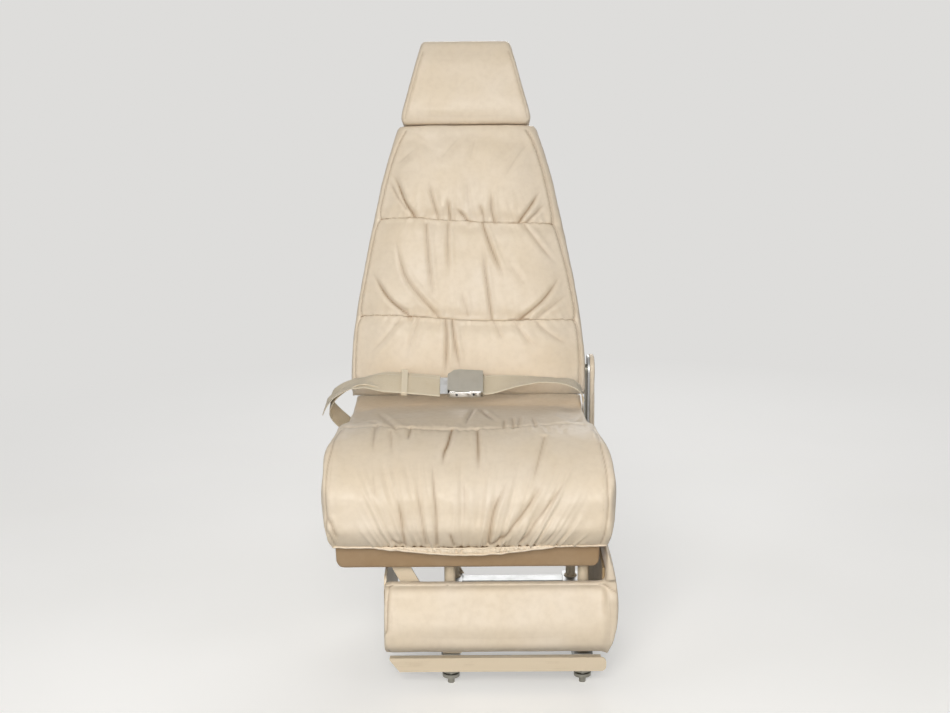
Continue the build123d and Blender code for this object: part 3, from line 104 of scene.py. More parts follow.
def new_material(name: str) -> tuple[bpy.types.Material, bpy.types.NodeTree, bpy.types.Node]:
    """Start a node material with an output.

    Args:
        name: The material's name.

    Returns:
        The material, its tree and its output node.
    """
    material = bpy.data.materials.new(name)
    material.use_nodes = True
    material.node_tree.nodes.clear()
    return material, material.node_tree, add_node(material.node_tree, "OutputMaterial")


def ramp(
    tree: bpy.types.NodeTree,
    factor: bpy.types.NodeSocket,
    low: float,
    high: float,
    start: float = 0.0,
    end: float = 1.0,
) -> bpy.types.NodeSocket:
    """Spread a value so that low becomes the start and high becomes the end.

    Args:
        tree: The node tree.
        factor: The value to spread.
        low: What becomes the start.
        high: What becomes the end.
        start: The result at low.
        end: The result at high.

    Returns:
        The clamped result.
    """
    limits = {"From Min": low, "From Max": high, "To Min": start, "To Max": end}
    return add_node(tree, "MapRange", {"Value": factor, **limits}, clamp=True).outputs["Result"]


def calc(tree: bpy.types.NodeTree, operation: str, *values: object) -> bpy.types.NodeSocket:
    """Work out one step of arithmetic.

    Args:
        tree: The node tree.
        operation: The step, such as MULTIPLY.
        *values: Numbers or sockets.

    Returns:
        The result.
    """
    return add_node(tree, "Math", dict(enumerate(values)), operation=operation).outputs[0]


def speckle(
    tree: bpy.types.NodeTree, place: bpy.types.NodeSocket, scale: float, detail: float
) -> bpy.types.NodeSocket:
    """Add noise.

    Args:
        tree: The node tree.
        place: Where it is looked up.
        scale: Its scale, in rounds a metre.
        detail: Its octaves.

    Returns:
        The noise, about 0.5.
    """
    return add_node(tree, "TexNoise", {"Vector": place, "Scale": scale, "Detail": detail}).outputs["Fac"]


def bumped(
    tree: bpy.types.NodeTree, height: bpy.types.NodeSocket, strength: float, distance: float
) -> bpy.types.NodeSocket:
    """Turn heights into a bumped normal.

    Args:
        tree: The node tree.
        height: The heights.
        strength: How strongly they show.
        distance: How high they stand, in millimetres.

    Returns:
        The normal.
    """
    relief = {"Height": height, "Strength": strength, "Distance": distance * MM}
    return add_node(tree, "Bump", relief).outputs["Normal"]


def mixed(
    tree: bpy.types.NodeTree, factor: float | bpy.types.NodeSocket, a: object, b: object
) -> bpy.types.NodeSocket:
    """Mix two colours.

    Args:
        tree: The node tree.
        factor: The share of the second colour.
        a: The first colour or socket.
        b: The second colour or socket.

    Returns:
        The mixed colour.
    """
    node = add_node(tree, "Mix", {0: factor, 6: a, 7: b}, data_type="RGBA")
    return node.outputs[2]


def shade_with(tree: bpy.types.NodeTree, out: bpy.types.Node, inputs: dict) -> None:
    """Add the surface shader and link it to the output.

    Args:
        tree: The node tree.
        out: The output node.
        inputs: The shader's values and links.
    """
    shader = add_node(tree, "BsdfPrincipled", inputs)
    tree.links.new(shader.outputs[0], out.inputs[0])


# Finishes


@dataclass(frozen=True)
class Leather:
    """Corrected-grain upholstery leather, pigmented and top-coated."""

    name: str
    colour: str = "E6D6BE"
    shade: str = "86653F"
    worn: str = "EADCC8"
    grain: float = 2.6
    roughness: float = 0.46
    relief: float = 0.14

    @lru_cache
    def material(self) -> bpy.types.Material:
        """Make the leather, once.

        Returns:
            The material.
        """
        # Pigmented hide: even colour with slow drift, painted shade along the creases and seam grooves, a
        # pebble grain whose real 1 mm pitch is drawn at 2.6 mm so that it shows.
        material, tree, out = new_material(self.name)
        place = add_node(tree, "TexCoord").outputs["Object"]
        drift = speckle(tree, place, 11.0, 3.0)
        mottle = speckle(tree, place, 95.0, 4.0)
        pebble = add_node(
            tree, "TexVoronoi", {"Vector": place, "Scale": 1 / (self.grain * MM)}, feature="SMOOTH_F1"
        )
        fine = speckle(tree, place, 900.0, 2.0)
        # Painted shade: the fold attribute darkens the colour towards the shade colour along creases and
        # seams.
        crease = add_node(tree, "Attribute", attribute_name="fold").outputs["Fac"]
        drifted = ramp(tree, drift, 0.35, 0.7)
        body = mixed(tree, drifted, linear(self.colour), linear(self.worn))
        body = mixed(tree, ramp(tree, mottle, 0.42, 5.0), body, linear(self.shade))
        body = mixed(tree, ramp(tree, crease, 0.0, 1.15), body, linear(self.shade))
        height = calc(tree, "MULTIPLY_ADD", pebble.outputs["Distance"], fine, 0.0)
        bump = bumped(tree, height, self.relief, 0.6)
        rough = ramp(tree, mottle, 0.3, 0.7, self.roughness - 0.05, self.roughness + 0.08)
        look = {"Base Color": body, "Roughness": rough, "Normal": bump, "IOR": 1.47, "Sheen Weight": 0.08}
        shade_with(tree, out, look)
        return material


@dataclass(frozen=True)
class CoatedMetal:
    """Steel or aluminium under a sprayed and baked coat of paint."""

    name: str
    colour: str
    scuff: str
    roughness: float = 0.42
    wear: float = 0.35

    @lru_cache
    def material(self) -> bpy.types.Material:
        """Make the paint, once.

        Returns:
            The material.
        """
        # Powder coat: faint orange peel of 4 mm, handling marks that dull and darken it in patches.
        material, tree, out = new_material(self.name)
        place = add_node(tree, "TexCoord").outputs["Object"]
        peel = speckle(tree, place, 250.0, 1.0)
        patch = add_node(tree, "TexNoise", {"Vector": place, "Scale": 26.0, "Detail": 6.0, "Roughness": 0.65})
        run = add_node(tree, "Mapping", {"Vector": place, "Scale": (7.0, 7.0, 190.0)})
        streak = speckle(tree, run.outputs[0], 1.0, 5.0)
        patchy = ramp(tree, patch.outputs["Fac"], 0.5, 0.75)
        scuffs = calc(tree, "MULTIPLY", patchy, ramp(tree, streak, 0.5, 0.72))
        share = calc(tree, "MULTIPLY", scuffs, self.wear)
        body = mixed(tree, share, linear(self.colour), linear(self.scuff))
        bump = bumped(tree, peel, 0.08, 0.3)
        low, high = self.roughness - 0.06, self.roughness + 0.12
        rough = ramp(tree, patch.outputs["Fac"], 0.0, 1.0, low, high)
        shade_with(tree, out, {"Base Color": body, "Roughness": rough, "Normal": bump})
        return material


@dataclass(frozen=True)
class BareMetal:
    """Metal with no paint: plated, anodised, brushed or polished."""

    name: str
    colour: str
    tarnish: str
    roughness: float
    spread: float = 0.08
    brush: tuple[float, float, float] = (60.0, 60.0, 60.0)
    relief: float = 0.03

    @lru_cache
    def material(self) -> bpy.types.Material:
        """Make the metal, once.

        Returns:
            The material.
        """
        # Its brush or plating grain is noise drawn out along the way the surface was worked.
        material, tree, out = new_material(self.name)
        place = add_node(tree, "TexCoord").outputs["Object"]
        drawn = add_node(tree, "Mapping", {"Vector": place, "Scale": self.brush})
        grain = speckle(tree, drawn.outputs[0], 6.0, 4.0)
        cloud = speckle(tree, place, 45.0, 3.0)
        clouded = ramp(tree, cloud, 0.45, 0.8)
        body = mixed(tree, clouded, linear(self.colour), linear(self.tarnish))
        low, high = max(0.03, self.roughness - self.spread), self.roughness + self.spread
        rough = ramp(tree, grain, 0.3, 0.7, low, high)
        bump = bumped(tree, grain, self.relief, 0.2)
        shade_with(tree, out, {"Base Color": body, "Metallic": 1.0, "Roughness": rough, "Normal": bump})
        return material


@dataclass(frozen=True)
class BeltWeave:
    """Polyester lap belt webbing, a herringbone with selvedges."""

    name: str
    colour: str = "F7EBD6"
    shade: str = "DACAAA"
    selvedge: str = "EADEC6"
    rib: float = 2.4

    @lru_cache
    def material(self) -> bpy.types.Material:
        """Make the webbing, once.

        Returns:
            The material.
        """
        # Woven yarn: ribs slant one way and the other in bands; the map is in metres along and
        # across the strap, and the real 1.2 mm rib is drawn at 2.4 mm.
        material, tree, out = new_material(self.name)
        parts = add_node(tree, "SeparateXYZ", {0: add_node(tree, "UVMap", uv_map="strap").outputs[0]})
        band = calc(tree, "PINGPONG", parts.outputs["Y"], 11 * MM)
        slant = calc(tree, "ADD", parts.outputs["X"], band)
        rate = 2 * math.pi / (self.rib * MM)
        turns = calc(tree, "MULTIPLY", slant, rate)
        wave = calc(tree, "SINE", turns)
        place = add_node(tree, "TexCoord").outputs["Object"]
        soil = speckle(tree, place, 30.0, 5.0)
        yarn = mixed(tree, ramp(tree, wave, -1.0, 1.6), linear(self.shade), linear(self.colour))
        body = mixed(tree, ramp(tree, soil, 0.5, 0.9), yarn, linear(self.shade))
        off_middle = calc(tree, "SUBTRACT", parts.outputs["Y"], 25 * MM)
        off_middle = calc(tree, "ABSOLUTE", off_middle)
        body = mixed(tree, ramp(tree, off_middle, 20.5 * MM, 23 * MM), body, linear(self.selvedge))
        bump = bumped(tree, wave, 0.5, 0.4)
        shade_with(tree, out, {"Base Color": body, "Roughness": 0.72, "Normal": bump, "Sheen Weight": 0.25})
        return material


@dataclass(frozen=True)
class Board:
    """Moulded or laminated panel: phenolic board or glass-filled nylon."""

    name: str
    colour: str
    fleck: str
    roughness: float = 0.6
    pitch: float = 1.5

    @lru_cache
    def material(self) -> bpy.types.Material:
        """Make the panel, once.

        Returns:
            The material.
        """
        # A fine spark-eroded texture and a faint fleck of filler.
        material, tree, out = new_material(self.name)
        place = add_node(tree, "TexCoord").outputs["Object"]
        grit = speckle(tree, place, 1 / (self.pitch * MM), 2.0)
        cloud = speckle(tree, place, 18.0, 4.0)
        share = calc(tree, "MULTIPLY", grit, cloud)
        flecked = ramp(tree, share, 0.15, 0.45)
        body = mixed(tree, flecked, linear(self.colour), linear(self.fleck))
        bump = bumped(tree, grit, 0.2, 0.2)
        shade_with(tree, out, {"Base Color": body, "Roughness": self.roughness, "Normal": bump})
        return material


class Finish(Enum):
    """The finishes of the seat, by the record's material slots."""

    LEATHER = ("leather", Leather("beige_upholstery_leather"))
    # Painted shade: the same leather darkened for the skirts, which sit in shadow under the seat's front
    # roll.
    SKIRT = ("leather", Leather("beige_skirt_leather_painted_shade", "AA8E6C", "66492C", "AF9576"))
    PAINT = ("painted_frame", CoatedMetal("beige_powder_coat", "E5D5BB", "A48D6B"))
    # Painted shade: the plate is drawn darker than bright zinc, so the frame seen in the dark under the seat
    # stays dim.
    STEEL = ("plated_steel", BareMetal("zinc_plated_steel", "9A9890", "7E7B6F", 0.42))
    ALUMINIUM = (
        "clear_anodised",
        BareMetal("clear_anodised_aluminium", "AEAFAF", "989996", 0.38, brush=(9.0, 90.0, 90.0)),
    )
    BOARD = ("panel_board", Board("phenolic_panel_board", "A68F6C", "8A7350"))
    WEBBING = ("webbing", BeltWeave("polyester_belt_webbing"))
    CHROME = ("bright_chrome", BareMetal("bright_chrome_plate", "DEDEDE", "C4C2BC", 0.09, spread=0.03))
    NICKEL = (
        "satin_nickel",
        BareMetal("satin_nickel_plate", "C6C3BA", "BCB9AF", 0.34, 0.03, (14.0, 4.0, 4.0), 0.0),
    )
    CYLINDER = ("cylinder_paint", CoatedMetal("black_enamel", "1B1B1C", "4A4844", 0.36, 0.5))
    LEVER = ("lever_plastic", Board("black_glass_filled_nylon", "1E1E1E", "2C2C2B", 0.5, 0.9))

    @property
    def slot(self) -> str:
        """Name of the record's slot."""
        return self.value[0]

    def material(self) -> bpy.types.Material:
        """The finish's material."""
        return self.value[1].material()


# Mesh helpers


def deselect() -> None:
    """Leave nothing selected."""
    bpy.ops.object.select_all(action="DESELECT")


def take(obj: bpy.types.Object) -> None:
    """Select one object alone and make it active."""
    deselect()
    obj.select_set(True)
    bpy.context.view_layer.objects.active = obj


def apply_place(obj: bpy.types.Object) -> None:
    """Put an object's place into its mesh, so that the object sits at the origin."""
    take(obj)
    bpy.ops.object.transform_apply(location=True, rotation=True, scale=True)


def apply_all(obj: bpy.types.Object) -> None:
    """Apply every modifier of an object, in order."""
    take(obj)
    for name in [m.name for m in obj.modifiers]:
        bpy.ops.object.modifier_apply(modifier=name)


def mesh_object(name: str, mesh: bpy.types.Mesh) -> bpy.types.Object:
    """Link a new object for a mesh.

    Args:
        name: The piece's name.
        mesh: Its mesh.

    Returns:
        The object.
    """
    obj = bpy.data.objects.new(name, mesh)
    bpy.context.scene.collection.objects.link(obj)
    return obj


def places(obj: bpy.types.Object) -> np.ndarray:
    """Vertex places of a mesh object, in metres.

    Args:
        obj: The object.

    Returns:
        An array of one row a vertex.
    """
    co = np.empty(len(obj.data.vertices) * 3)
    obj.data.vertices.foreach_get("co", co)
    return co.reshape(-1, 3)


def directions(obj: bpy.types.Object) -> np.ndarray:
    """Vertex normals of a mesh object.

    Args:
        obj: The object.

    Returns:
        An array of one row a vertex.
    """
    no = np.empty(len(obj.data.vertices) * 3)
    obj.data.vertices.foreach_get("normal", no)
    return no.reshape(-1, 3)


def put_places(obj: bpy.types.Object, co: np.ndarray) -> None:
    """Write vertex places back to a mesh object."""
    obj.data.vertices.foreach_set("co", co.astype(np.float32).ravel())
    obj.data.update()


def copy_of(node: str, name: str) -> bpy.types.Object:
    """Copy a CAD node's mesh into a new object, with its doubles merged.

    Args:
        node: The CAD node.
        name: The new piece's name.

    Returns:
        The new object.
    """
    obj = mesh_object(name, frame["nodes"][node].data.copy())
    shape = bmesh.new()
    shape.from_mesh(obj.data)
    bmesh.ops.remove_doubles(shape, verts=shape.verts, dist=0.02 * MM)
    shape.to_mesh(obj.data)
    shape.free()
    obj.data.materials.clear()
    return obj


def finish_piece(
    obj: bpy.types.Object, finish: Finish, body: str, smooth: float | None = 40.0
) -> bpy.types.Object:
    """Give a new piece its finish, smoothing and body, and report it.

    Args:
        obj: The piece.
        finish: Its finish.
        body: The CAD body it rides on.
        smooth: Degrees under which edges are smooth, or None for all smooth.

    Returns:
        The piece.
    """
    obj.data.materials.clear()
    obj.data.materials.append(finish.material())
    take(obj)
    if smooth is None:
        bpy.ops.object.shade_smooth()
    else:
        bpy.ops.object.shade_smooth_by_angle(angle=math.radians(smooth))
    finish.slot
    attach(obj, body)
    log.info("%s: %d faces on %s", obj.name, len(obj.data.polygons), body)
    return obj


def joined(pieces: Sequence[bpy.types.Object], name: str) -> bpy.types.Object:
    """Join several objects into one.

    Args:
        pieces: The objects, of which the first is kept.
        name: The name of the result.

    Returns:
        The joined object.
    """
    deselect()
    for piece in pieces:
        piece.select_set(True)
    bpy.context.view_layer.objects.active = pieces[0]
    if len(pieces) > 1:
        bpy.ops.object.join()
    pieces[0].name = name
    return pieces[0]


def spline_points(corners: Sequence[Sequence[float]], step: float) -> np.ndarray:
    """Points along a quadratic B-spline whose ends are clamped.

    Args:
        corners: Control points, in millimetres.
        step: About how far apart the points are.

    Returns:
        The points, one row each.
    """
    p = np.array(corners, float)
    knots = [p[0]] + [(p[i] + p[i + 1]) / 2 for i in range(1, len(p) - 2)] + [p[-1]]
    rows = []
    for i, corner in enumerate(p[1:-1]):
        a, b = knots[i], knots[i + 1]
        count = max(3, round((np.linalg.norm(corner - a) + np.linalg.norm(b - corner)) / step))
        t = np.linspace(0, 1, count, endpoint=False)[:, None]
        rows.append((1 - t) ** 2 * a + 2 * t * (1 - t) * corner + t**2 * b)
    return np.vstack([*rows, p[-1:]])


def tube(name: str, points: np.ndarray, radius: float, sides: int = 8) -> bpy.types.Object:
    """Make a closed round tube along points, for piping.

    Args:
        name: The piece's name.
        points: Its middle line, in metres.
        radius: Its radius, in millimetres.
        sides: How many sides it has.

    Returns:
        The tube.
    """
    count = len(points)
    way = np.gradient(points, axis=0)
    way /= np.linalg.norm(way, axis=1)[:, None] + 1e-12
    side = np.cross(way[0], (0, 0, 1.0) if abs(way[0][2]) < 0.9 else (1.0, 0, 0))
    verts, faces = [], []
    for i in range(count):
        side = side - way[i] * (side @ way[i])
        side /= np.linalg.norm(side) + 1e-12
        up = np.cross(side, way[i])
        taper = 0.35 if i in (0, count - 1) else 1.0
        for k in range(sides):
            a = 2 * math.pi * k / sides
            verts.append(points[i] + radius * MM * taper * (side * math.cos(a) + up * math.sin(a)))
    for i in range(count - 1):
        for k in range(sides):
            a, b = i * sides + k, i * sides + (k + 1) % sides
            faces.append((a, a + sides, b + sides, b))
    faces += [tuple(range(sides)), tuple(reversed(range((count - 1) * sides, count * sides)))]
    mesh = bpy.data.meshes.new(name)
    mesh.from_pydata([tuple(v) for v in verts], [], faces)
    obj = mesh_object(name, mesh)
    shape = bmesh.new()
    shape.from_mesh(mesh)
    bmesh.ops.recalc_face_normals(shape, faces=shape.faces)
    shape.to_mesh(mesh)
    shape.free()
    return obj


def grid_faces(rows: int, columns: int) -> list[tuple[int, int, int, int]]:
    """Faces of a grid whose corners are listed row by row.

    Args:
        rows: How many faces it is long.
        columns: How many faces it is wide.

    Returns:
        The corners of each face.
    """
    step = columns + 1
    starts = [row * step + column for row in range(rows) for column in range(columns)]
    return [(a, a + 1, a + step + 1, a + step) for a in starts]


def line_distance(co: np.ndarray, line: np.ndarray) -> tuple[np.ndarray, np.ndarray, np.ndarray]:
    """Distance of points from a line of straight runs.

    Args:
        co: The points.
        line: The line's points.

    Returns:
        The distances, the share of the line's length at the nearest place, and the vectors to it.
    """
    best = np.full(len(co), 1e9)
    share = np.zeros(len(co))
    away = np.zeros_like(co)
    runs = np.linalg.norm(np.diff(line, axis=0), axis=1)
    total, before = runs.sum(), 0.0
    for a, b, run in zip(line[:-1], line[1:], runs):
        t = np.clip((co - a) @ (b - a) / max(run * run, 1e-12), 0, 1)
        vector = co - (a + t[:, None] * (b - a))
        dist = np.linalg.norm(vector, axis=1)
        near = dist < best
        best[near] = dist[near]
        share[near] = ((before + t * run) / total)[near]
        away[near] = vector[near]
        before += run
    return best, share, away


def ease(x: np.ndarray) -> np.ndarray:
    """Turn a share from 0 to 1 into one that starts and ends gently."""
    x = np.clip(x, 0, 1)
    return x * x * (3 - 2 * x)


# Leather pads


@dataclass(frozen=True)
class Fold:
    """A crease in the leather along a line on its surface."""

    path: tuple[tuple[float, ...], ...]
    depth: float = 2.0
    width: float = 4.0
    shade: float = 0.5
    both: bool = False


@dataclass(frozen=True)
class Seam:
    """A sewn line that holds the leather down."""

    path: tuple[tuple[float, ...], ...]
    depth: float = 3.0
    width: float = 6.0
    line: float = 1.5
    shade: float = 1.0


@dataclass
class LeatherPad:
    """A foam piece covered in leather, made from its CAD solid."""

    node: str
    name: str
    body: str
    voxel: float = 5.0
    rounds: int = 8
    shrink: float = 0.0
    swell: float = 0.0
    pressure: float = 4.0
    fill: float = 0.6
    drift: float = 0.5
    more: tuple[str, ...] = ()
    sharp: float = 0.8
    press: float = 0.9
    line_width: float = 1.8
    haze: float = 0.2
    haze_width: float = 4.5
    thread_sink: float = 2.6
    frames: int = 20
    share: float = 0.45
    middle: float = 0.0
    wider_left: tuple[Flat, ...] = ()
    wider_right: tuple[Flat, ...] = ()
    piece: bpy.types.Object | None = field(default=None, init=False)
    surface: BVHTree | None = field(default=None, init=False)

    def world(self, point: Sequence[float]) -> Vector:
        """Turn a drawn point into the row frame, in metres.

        Args:
            point: The point in millimetres.

        Returns:
            The place.
        """
        return Vector(point) * MM

    def axes_of(self, co: np.ndarray) -> np.ndarray:
        """Turn places into the pad's own axes, in millimetres; the row frame's unless it leans."""
        return co / MM

    def back_from(self, flat: np.ndarray) -> np.ndarray:
        """Turn places on the pad's own axes back into metres in the row frame."""
        return flat * MM

    def held(self, co: np.ndarray) -> np.ndarray:
        """Say how firmly each vertex is held while the pad swells.

        Args:
            co: Vertex places.

        Returns:
            A share from 0 to 1 for each vertex.
        """
        return np.zeros(len(co))

    def shape(self) -> None:
        """Copy the solid, remesh it evenly, ease its edges and bring it back to its full size."""
        self.piece = joined([copy_of(node, self.name) for node in (self.node, *self.more)], self.name)
        full = self.axes_of(places(self.piece))
        remesh = self.piece.modifiers.new("even", "REMESH")
        remesh.mode = "VOXEL"
        remesh.voxel_size = self.voxel * MM
        ease_edges = self.piece.modifiers.new("ease", "SMOOTH")
        ease_edges.factor = 0.5
        ease_edges.iterations = self.rounds
        apply_all(self.piece)
        eased = self.axes_of(places(self.piece))
        low, high = eased.min(0), eased.max(0)
        eased = full.min(0) + (eased - low) * (full.max(0) - full.min(0)) / (high - low)
        for side, table in ((-1, self.wider_left), (1, self.wider_right)):
            if table:
                rows = np.array(table)
                amount = np.interp(eased[:, 1], rows[:, 0], rows[:, 1])
                eased[:, 0] += side * amount * ease((side * (eased[:, 0] - self.middle) - 30) / 110)
        put_places(self.piece, self.back_from(self.trimmed(eased)))

    def trimmed(self, flat: np.ndarray) -> np.ndarray:
        """Change the eased shape, on the pad's own axes."""
        return flat

    def softness(self, flat: np.ndarray) -> np.ndarray:
        """Say how far each vertex follows the swollen cloth, from 0 to 1."""
        return np.ones(len(flat))

    def inflate(self) -> None:
        """Swell the pad as cloth under pressure, and cap how far it moves."""
        obj = self.piece
        co, no = places(obj), directions(obj)
        held = self.held(co)
        whole, soft = co, self.share * self.softness(self.axes_of(co))
        co = co - no * (self.shrink * MM * (1 - held))[:, None]
        put_places(obj, co)
        if not self.swell:
            put_places(obj, whole)
            return
        group = obj.vertex_groups.new(name="held")
        for index in np.nonzero(held > 0.5)[0]:
            group.add([int(index)], 1.0, "REPLACE")
        cloth = obj.modifiers.new("swell", "CLOTH")
        cloth.settings.use_pressure = True
        cloth.settings.uniform_pressure_force = self.pressure
        cloth.settings.effector_weights.gravity = 0
        cloth.settings.vertex_group_mass = "held"
        cloth.settings.quality = 4
        cloth.point_cache.frame_start, cloth.point_cache.frame_end = 1, self.frames
        for step in range(1, self.frames + 1):
            bpy.context.scene.frame_set(step)
        seen = obj.evaluated_get(bpy.context.evaluated_depsgraph_get())
        after = np.empty(len(co) * 3)
        seen.data.vertices.foreach_get("co", after)
        move = after.reshape(-1, 3) - co
        far = np.linalg.norm(move, axis=1)[:, None] + 1e-12
        obj.modifiers.remove(cloth)
        obj.vertex_groups.clear()
        bpy.context.scene.frame_set(1)
        swollen = co + move * np.minimum(1, self.swell * MM / far)
        put_places(obj, whole + (swollen - whole) * soft[:, None])
        calm = obj.modifiers.new("calm", "SMOOTH")
        calm.factor, calm.iterations = 0.5, 2
        apply_all(obj)
        log.info("%s swelled by up to %.1f mm", self.name, min(far.max() / MM, self.swell))

    def refine(self) -> None:
        """Divide the mesh once, and keep its surface for drawing lines on."""
        divide = self.piece.modifiers.new("fine", "SUBSURF")
        divide.levels = divide.render_levels = 1
        apply_all(self.piece)
        self.surface = BVHTree.FromPolygons(
            [v.co for v in self.piece.data.vertices], [p.vertices[:] for p in self.piece.data.polygons]
        )

    def on_surface(self, path: Sequence[Sequence[float]], step: float = 8.0) -> np.ndarray:
        """Lay a drawn line on the pad's surface.

        Args:
            path: The line's points, in millimetres.
            step: How closely it is followed.

        Returns:
            Points on the surface, in metres.
        """
        if len(path) > 2:
            dense = spline_points(path, step)
        else:
            dense = np.linspace(path[0], path[1], max(2, round(math.dist(path[0], path[1]) / step)))
        return np.array([self.surface.find_nearest(self.world(p))[0] for p in dense])

    def crease(self, folds: Sequence[Fold], seams: Sequence[Seam]) -> None:
        """Press the folds and seams into the leather, and note where they shade it.

        Args:
            folds: Creases.
            seams: Sewn lines.
        """
        co, no = places(self.piece), directions(self.piece)
        rise = self.unevenness(co)
        shade = np.zeros(len(co))
        for fold in folds:
            line = self.on_surface(fold.path)
            dist, share, away = line_distance(co, line)
            keep = ease(share / 0.25) * ease((1 - share) / 0.35) if fold.both else ease((1 - share) / 0.45)
            d = dist / (self.sharp * fold.width * MM)
            side = np.sign(away[:, 0])
            valley = np.exp(-(d**2))
            ridge = np.exp(-(((d - 1.9) / 1.1) ** 2)) * (0.42 + 0.18 * side)
            rise += self.press * fold.depth * keep * (ridge - valley)
            line_shade = np.exp(-((dist / (self.line_width * MM)) ** 2))
            line_shade = line_shade + self.haze * np.exp(-((dist / (self.haze_width * MM)) ** 2))
            shade = np.maximum(shade, fold.shade * keep * line_shade)
        for seam in seams:
            line = self.on_surface(seam.path, 5.0)
            dist, _share, _away = line_distance(co, line)
            d = dist / (seam.width * MM)
            thread = np.exp(-((dist / (self.thread_sink * MM)) ** 2))
            rise -= seam.depth * (0.55 * np.exp(-(d**2)) + 0.45 * thread)
            shade = np.maximum(shade, seam.shade * np.exp(-((dist / (seam.line * MM)) ** 2)))
        put_places(self.piece, co + no * (rise * MM)[:, None])
        # The fold attribute carries painted shade for the creases and seams, read by the leather's colour.
        layer = self.piece.data.attributes.new("fold", "FLOAT", "POINT")
        layer.data.foreach_set("value", shade.astype(np.float32))

    def unevenness(self, co: np.ndarray) -> np.ndarray:
        """Slow rises and falls of the foam under the leather.

        Args:
            co: Vertex places.

        Returns:
            A rise for each vertex, in millimetres.
        """
        slow = [noise.noise(Vector(p) * 16) + 0.5 * noise.noise(Vector(p) * 41) for p in co]
        return self.drift * np.array(slow)

    def dress(self, finish: Finish = Finish.LEATHER) -> bpy.types.Object:
        """Finish the pad and let it stand for its CAD solid.

        Args:
            finish: Its covering.

        Returns:
            The piece.
        """
        finish_piece(self.piece, finish, self.body, None)
        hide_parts(self.node, *self.more)
        return self.piece

    def stitches(self, path: Sequence[Sequence[float]], name: str, pitch: float = 7.0) -> bpy.types.Object:
        """Sew a row of thread stitches on the pad's surface.

        Args:
            path: The row's line, in millimetres.
            name: The piece's name.
            pitch: From one stitch to the next.

        Returns:
            The row as one piece.
        """
        line = self.on_surface(path, 2.0)
        ways = np.diff(line, axis=0)
        along = np.concatenate([[0], np.cumsum(np.linalg.norm(ways, axis=1))])
        deselect()
        bpy.ops.mesh.primitive_uv_sphere_add(segments=6, ring_count=4, radius=0.5)
        stitch = bpy.context.object
        rows = []
        for start in np.arange(pitch, along[-1] / MM - pitch, pitch):
            a, b = (
                np.array([np.interp((start + part * 0.62 * pitch) * MM, along, line[:, k]) for k in range(3)])
                for part in (0, 1)
            )
            up = self.surface.find_nearest(Vector(a))[1]
            way = Vector(b - a)
            if way.length < MM:
                continue
            turn = way.to_track_quat("X", "Y").to_matrix().to_4x4()
            size = Matrix.Diagonal((way.length, 0.9 * MM, 0.9 * MM, 1))
            rows.append(Matrix.Translation(Vector((a + b) / 2) + up * 0.25 * MM) @ turn @ size)
        parts = []
        for matrix in rows:
            part = mesh_object(name, stitch.data.copy())
            part.data.transform(matrix)
            parts.append(part)
        bpy.data.objects.remove(stitch)
        return finish_piece(joined(parts, name), Finish.LEATHER, self.body, None)


@dataclass
class BackAxes:
    """The back's own axes: across, up along the back, and out of its face."""

    middle_x: float = -83.0
    pivot_y: float = 210.0
    pivot_z: float = 265.0
    lean: float = 12.0

    def place(self, x: float, height: float, out: float) -> Vector:
        """A point on or near the back, in the row frame.

        Args:
            x: Across, from the middle of the seat.
            height: Along the back, from the pivot.
            out: In front of the middle of the uprights.

        Returns:
            The place, in metres.
        """
        s, c = math.sin(math.radians(self.lean)), math.cos(math.radians(self.lean))
        return (
            Vector(
                (self.middle_x + x, self.pivot_y + s * height - c * out, self.pivot_z + c * height + s * out)
            )
            * MM
        )

    def local(self, co: np.ndarray) -> np.ndarray:
        """Turn places in metres into across, height and out, in millimetres.

        Args:
            co: Places, one row each.

        Returns:
            The same places on the back's axes.
        """
        s, c = math.sin(math.radians(self.lean)), math.cos(math.radians(self.lean))
        d = co / MM - np.array([self.middle_x, self.pivot_y, self.pivot_z])
        return np.stack([d[:, 0], d[:, 1] * s + d[:, 2] * c, -d[:, 1] * c + d[:, 2] * s], 1)

    def world(self, flat: np.ndarray) -> np.ndarray:
        """Turn rows of across, height and out into places in metres.

        Args:
            flat: Places on the back's axes, in millimetres.

        Returns:
            The same places in the row frame.
        """
        s, c = math.sin(math.radians(self.lean)), math.cos(math.radians(self.lean))
        across, up, out = flat.T
        spots = np.stack([across, up * s - out * c, up * c + out * s], 1)
        return (spots + np.array([self.middle_x, self.pivot_y, self.pivot_z])) * MM


@dataclass
class LeaningPad(LeatherPad):
    """A pad that is drawn on the back's own axes."""

    axes: BackAxes = field(default_factory=BackAxes)
    face: float = 70.0

    def world(self, point: Sequence[float]) -> Vector:
        """Turn a point drawn on the pad's face into the row frame."""
        return self.axes.place(point[0], point[1], point[2] if len(point) > 2 else self.face)

    def axes_of(self, co: np.ndarray) -> np.ndarray:
        """Turn places into across, height and out."""
        return self.axes.local(co)

    def back_from(self, flat: np.ndarray) -> np.ndarray:
        """Turn across, height and out back into the row frame."""
        return self.axes.world(flat)


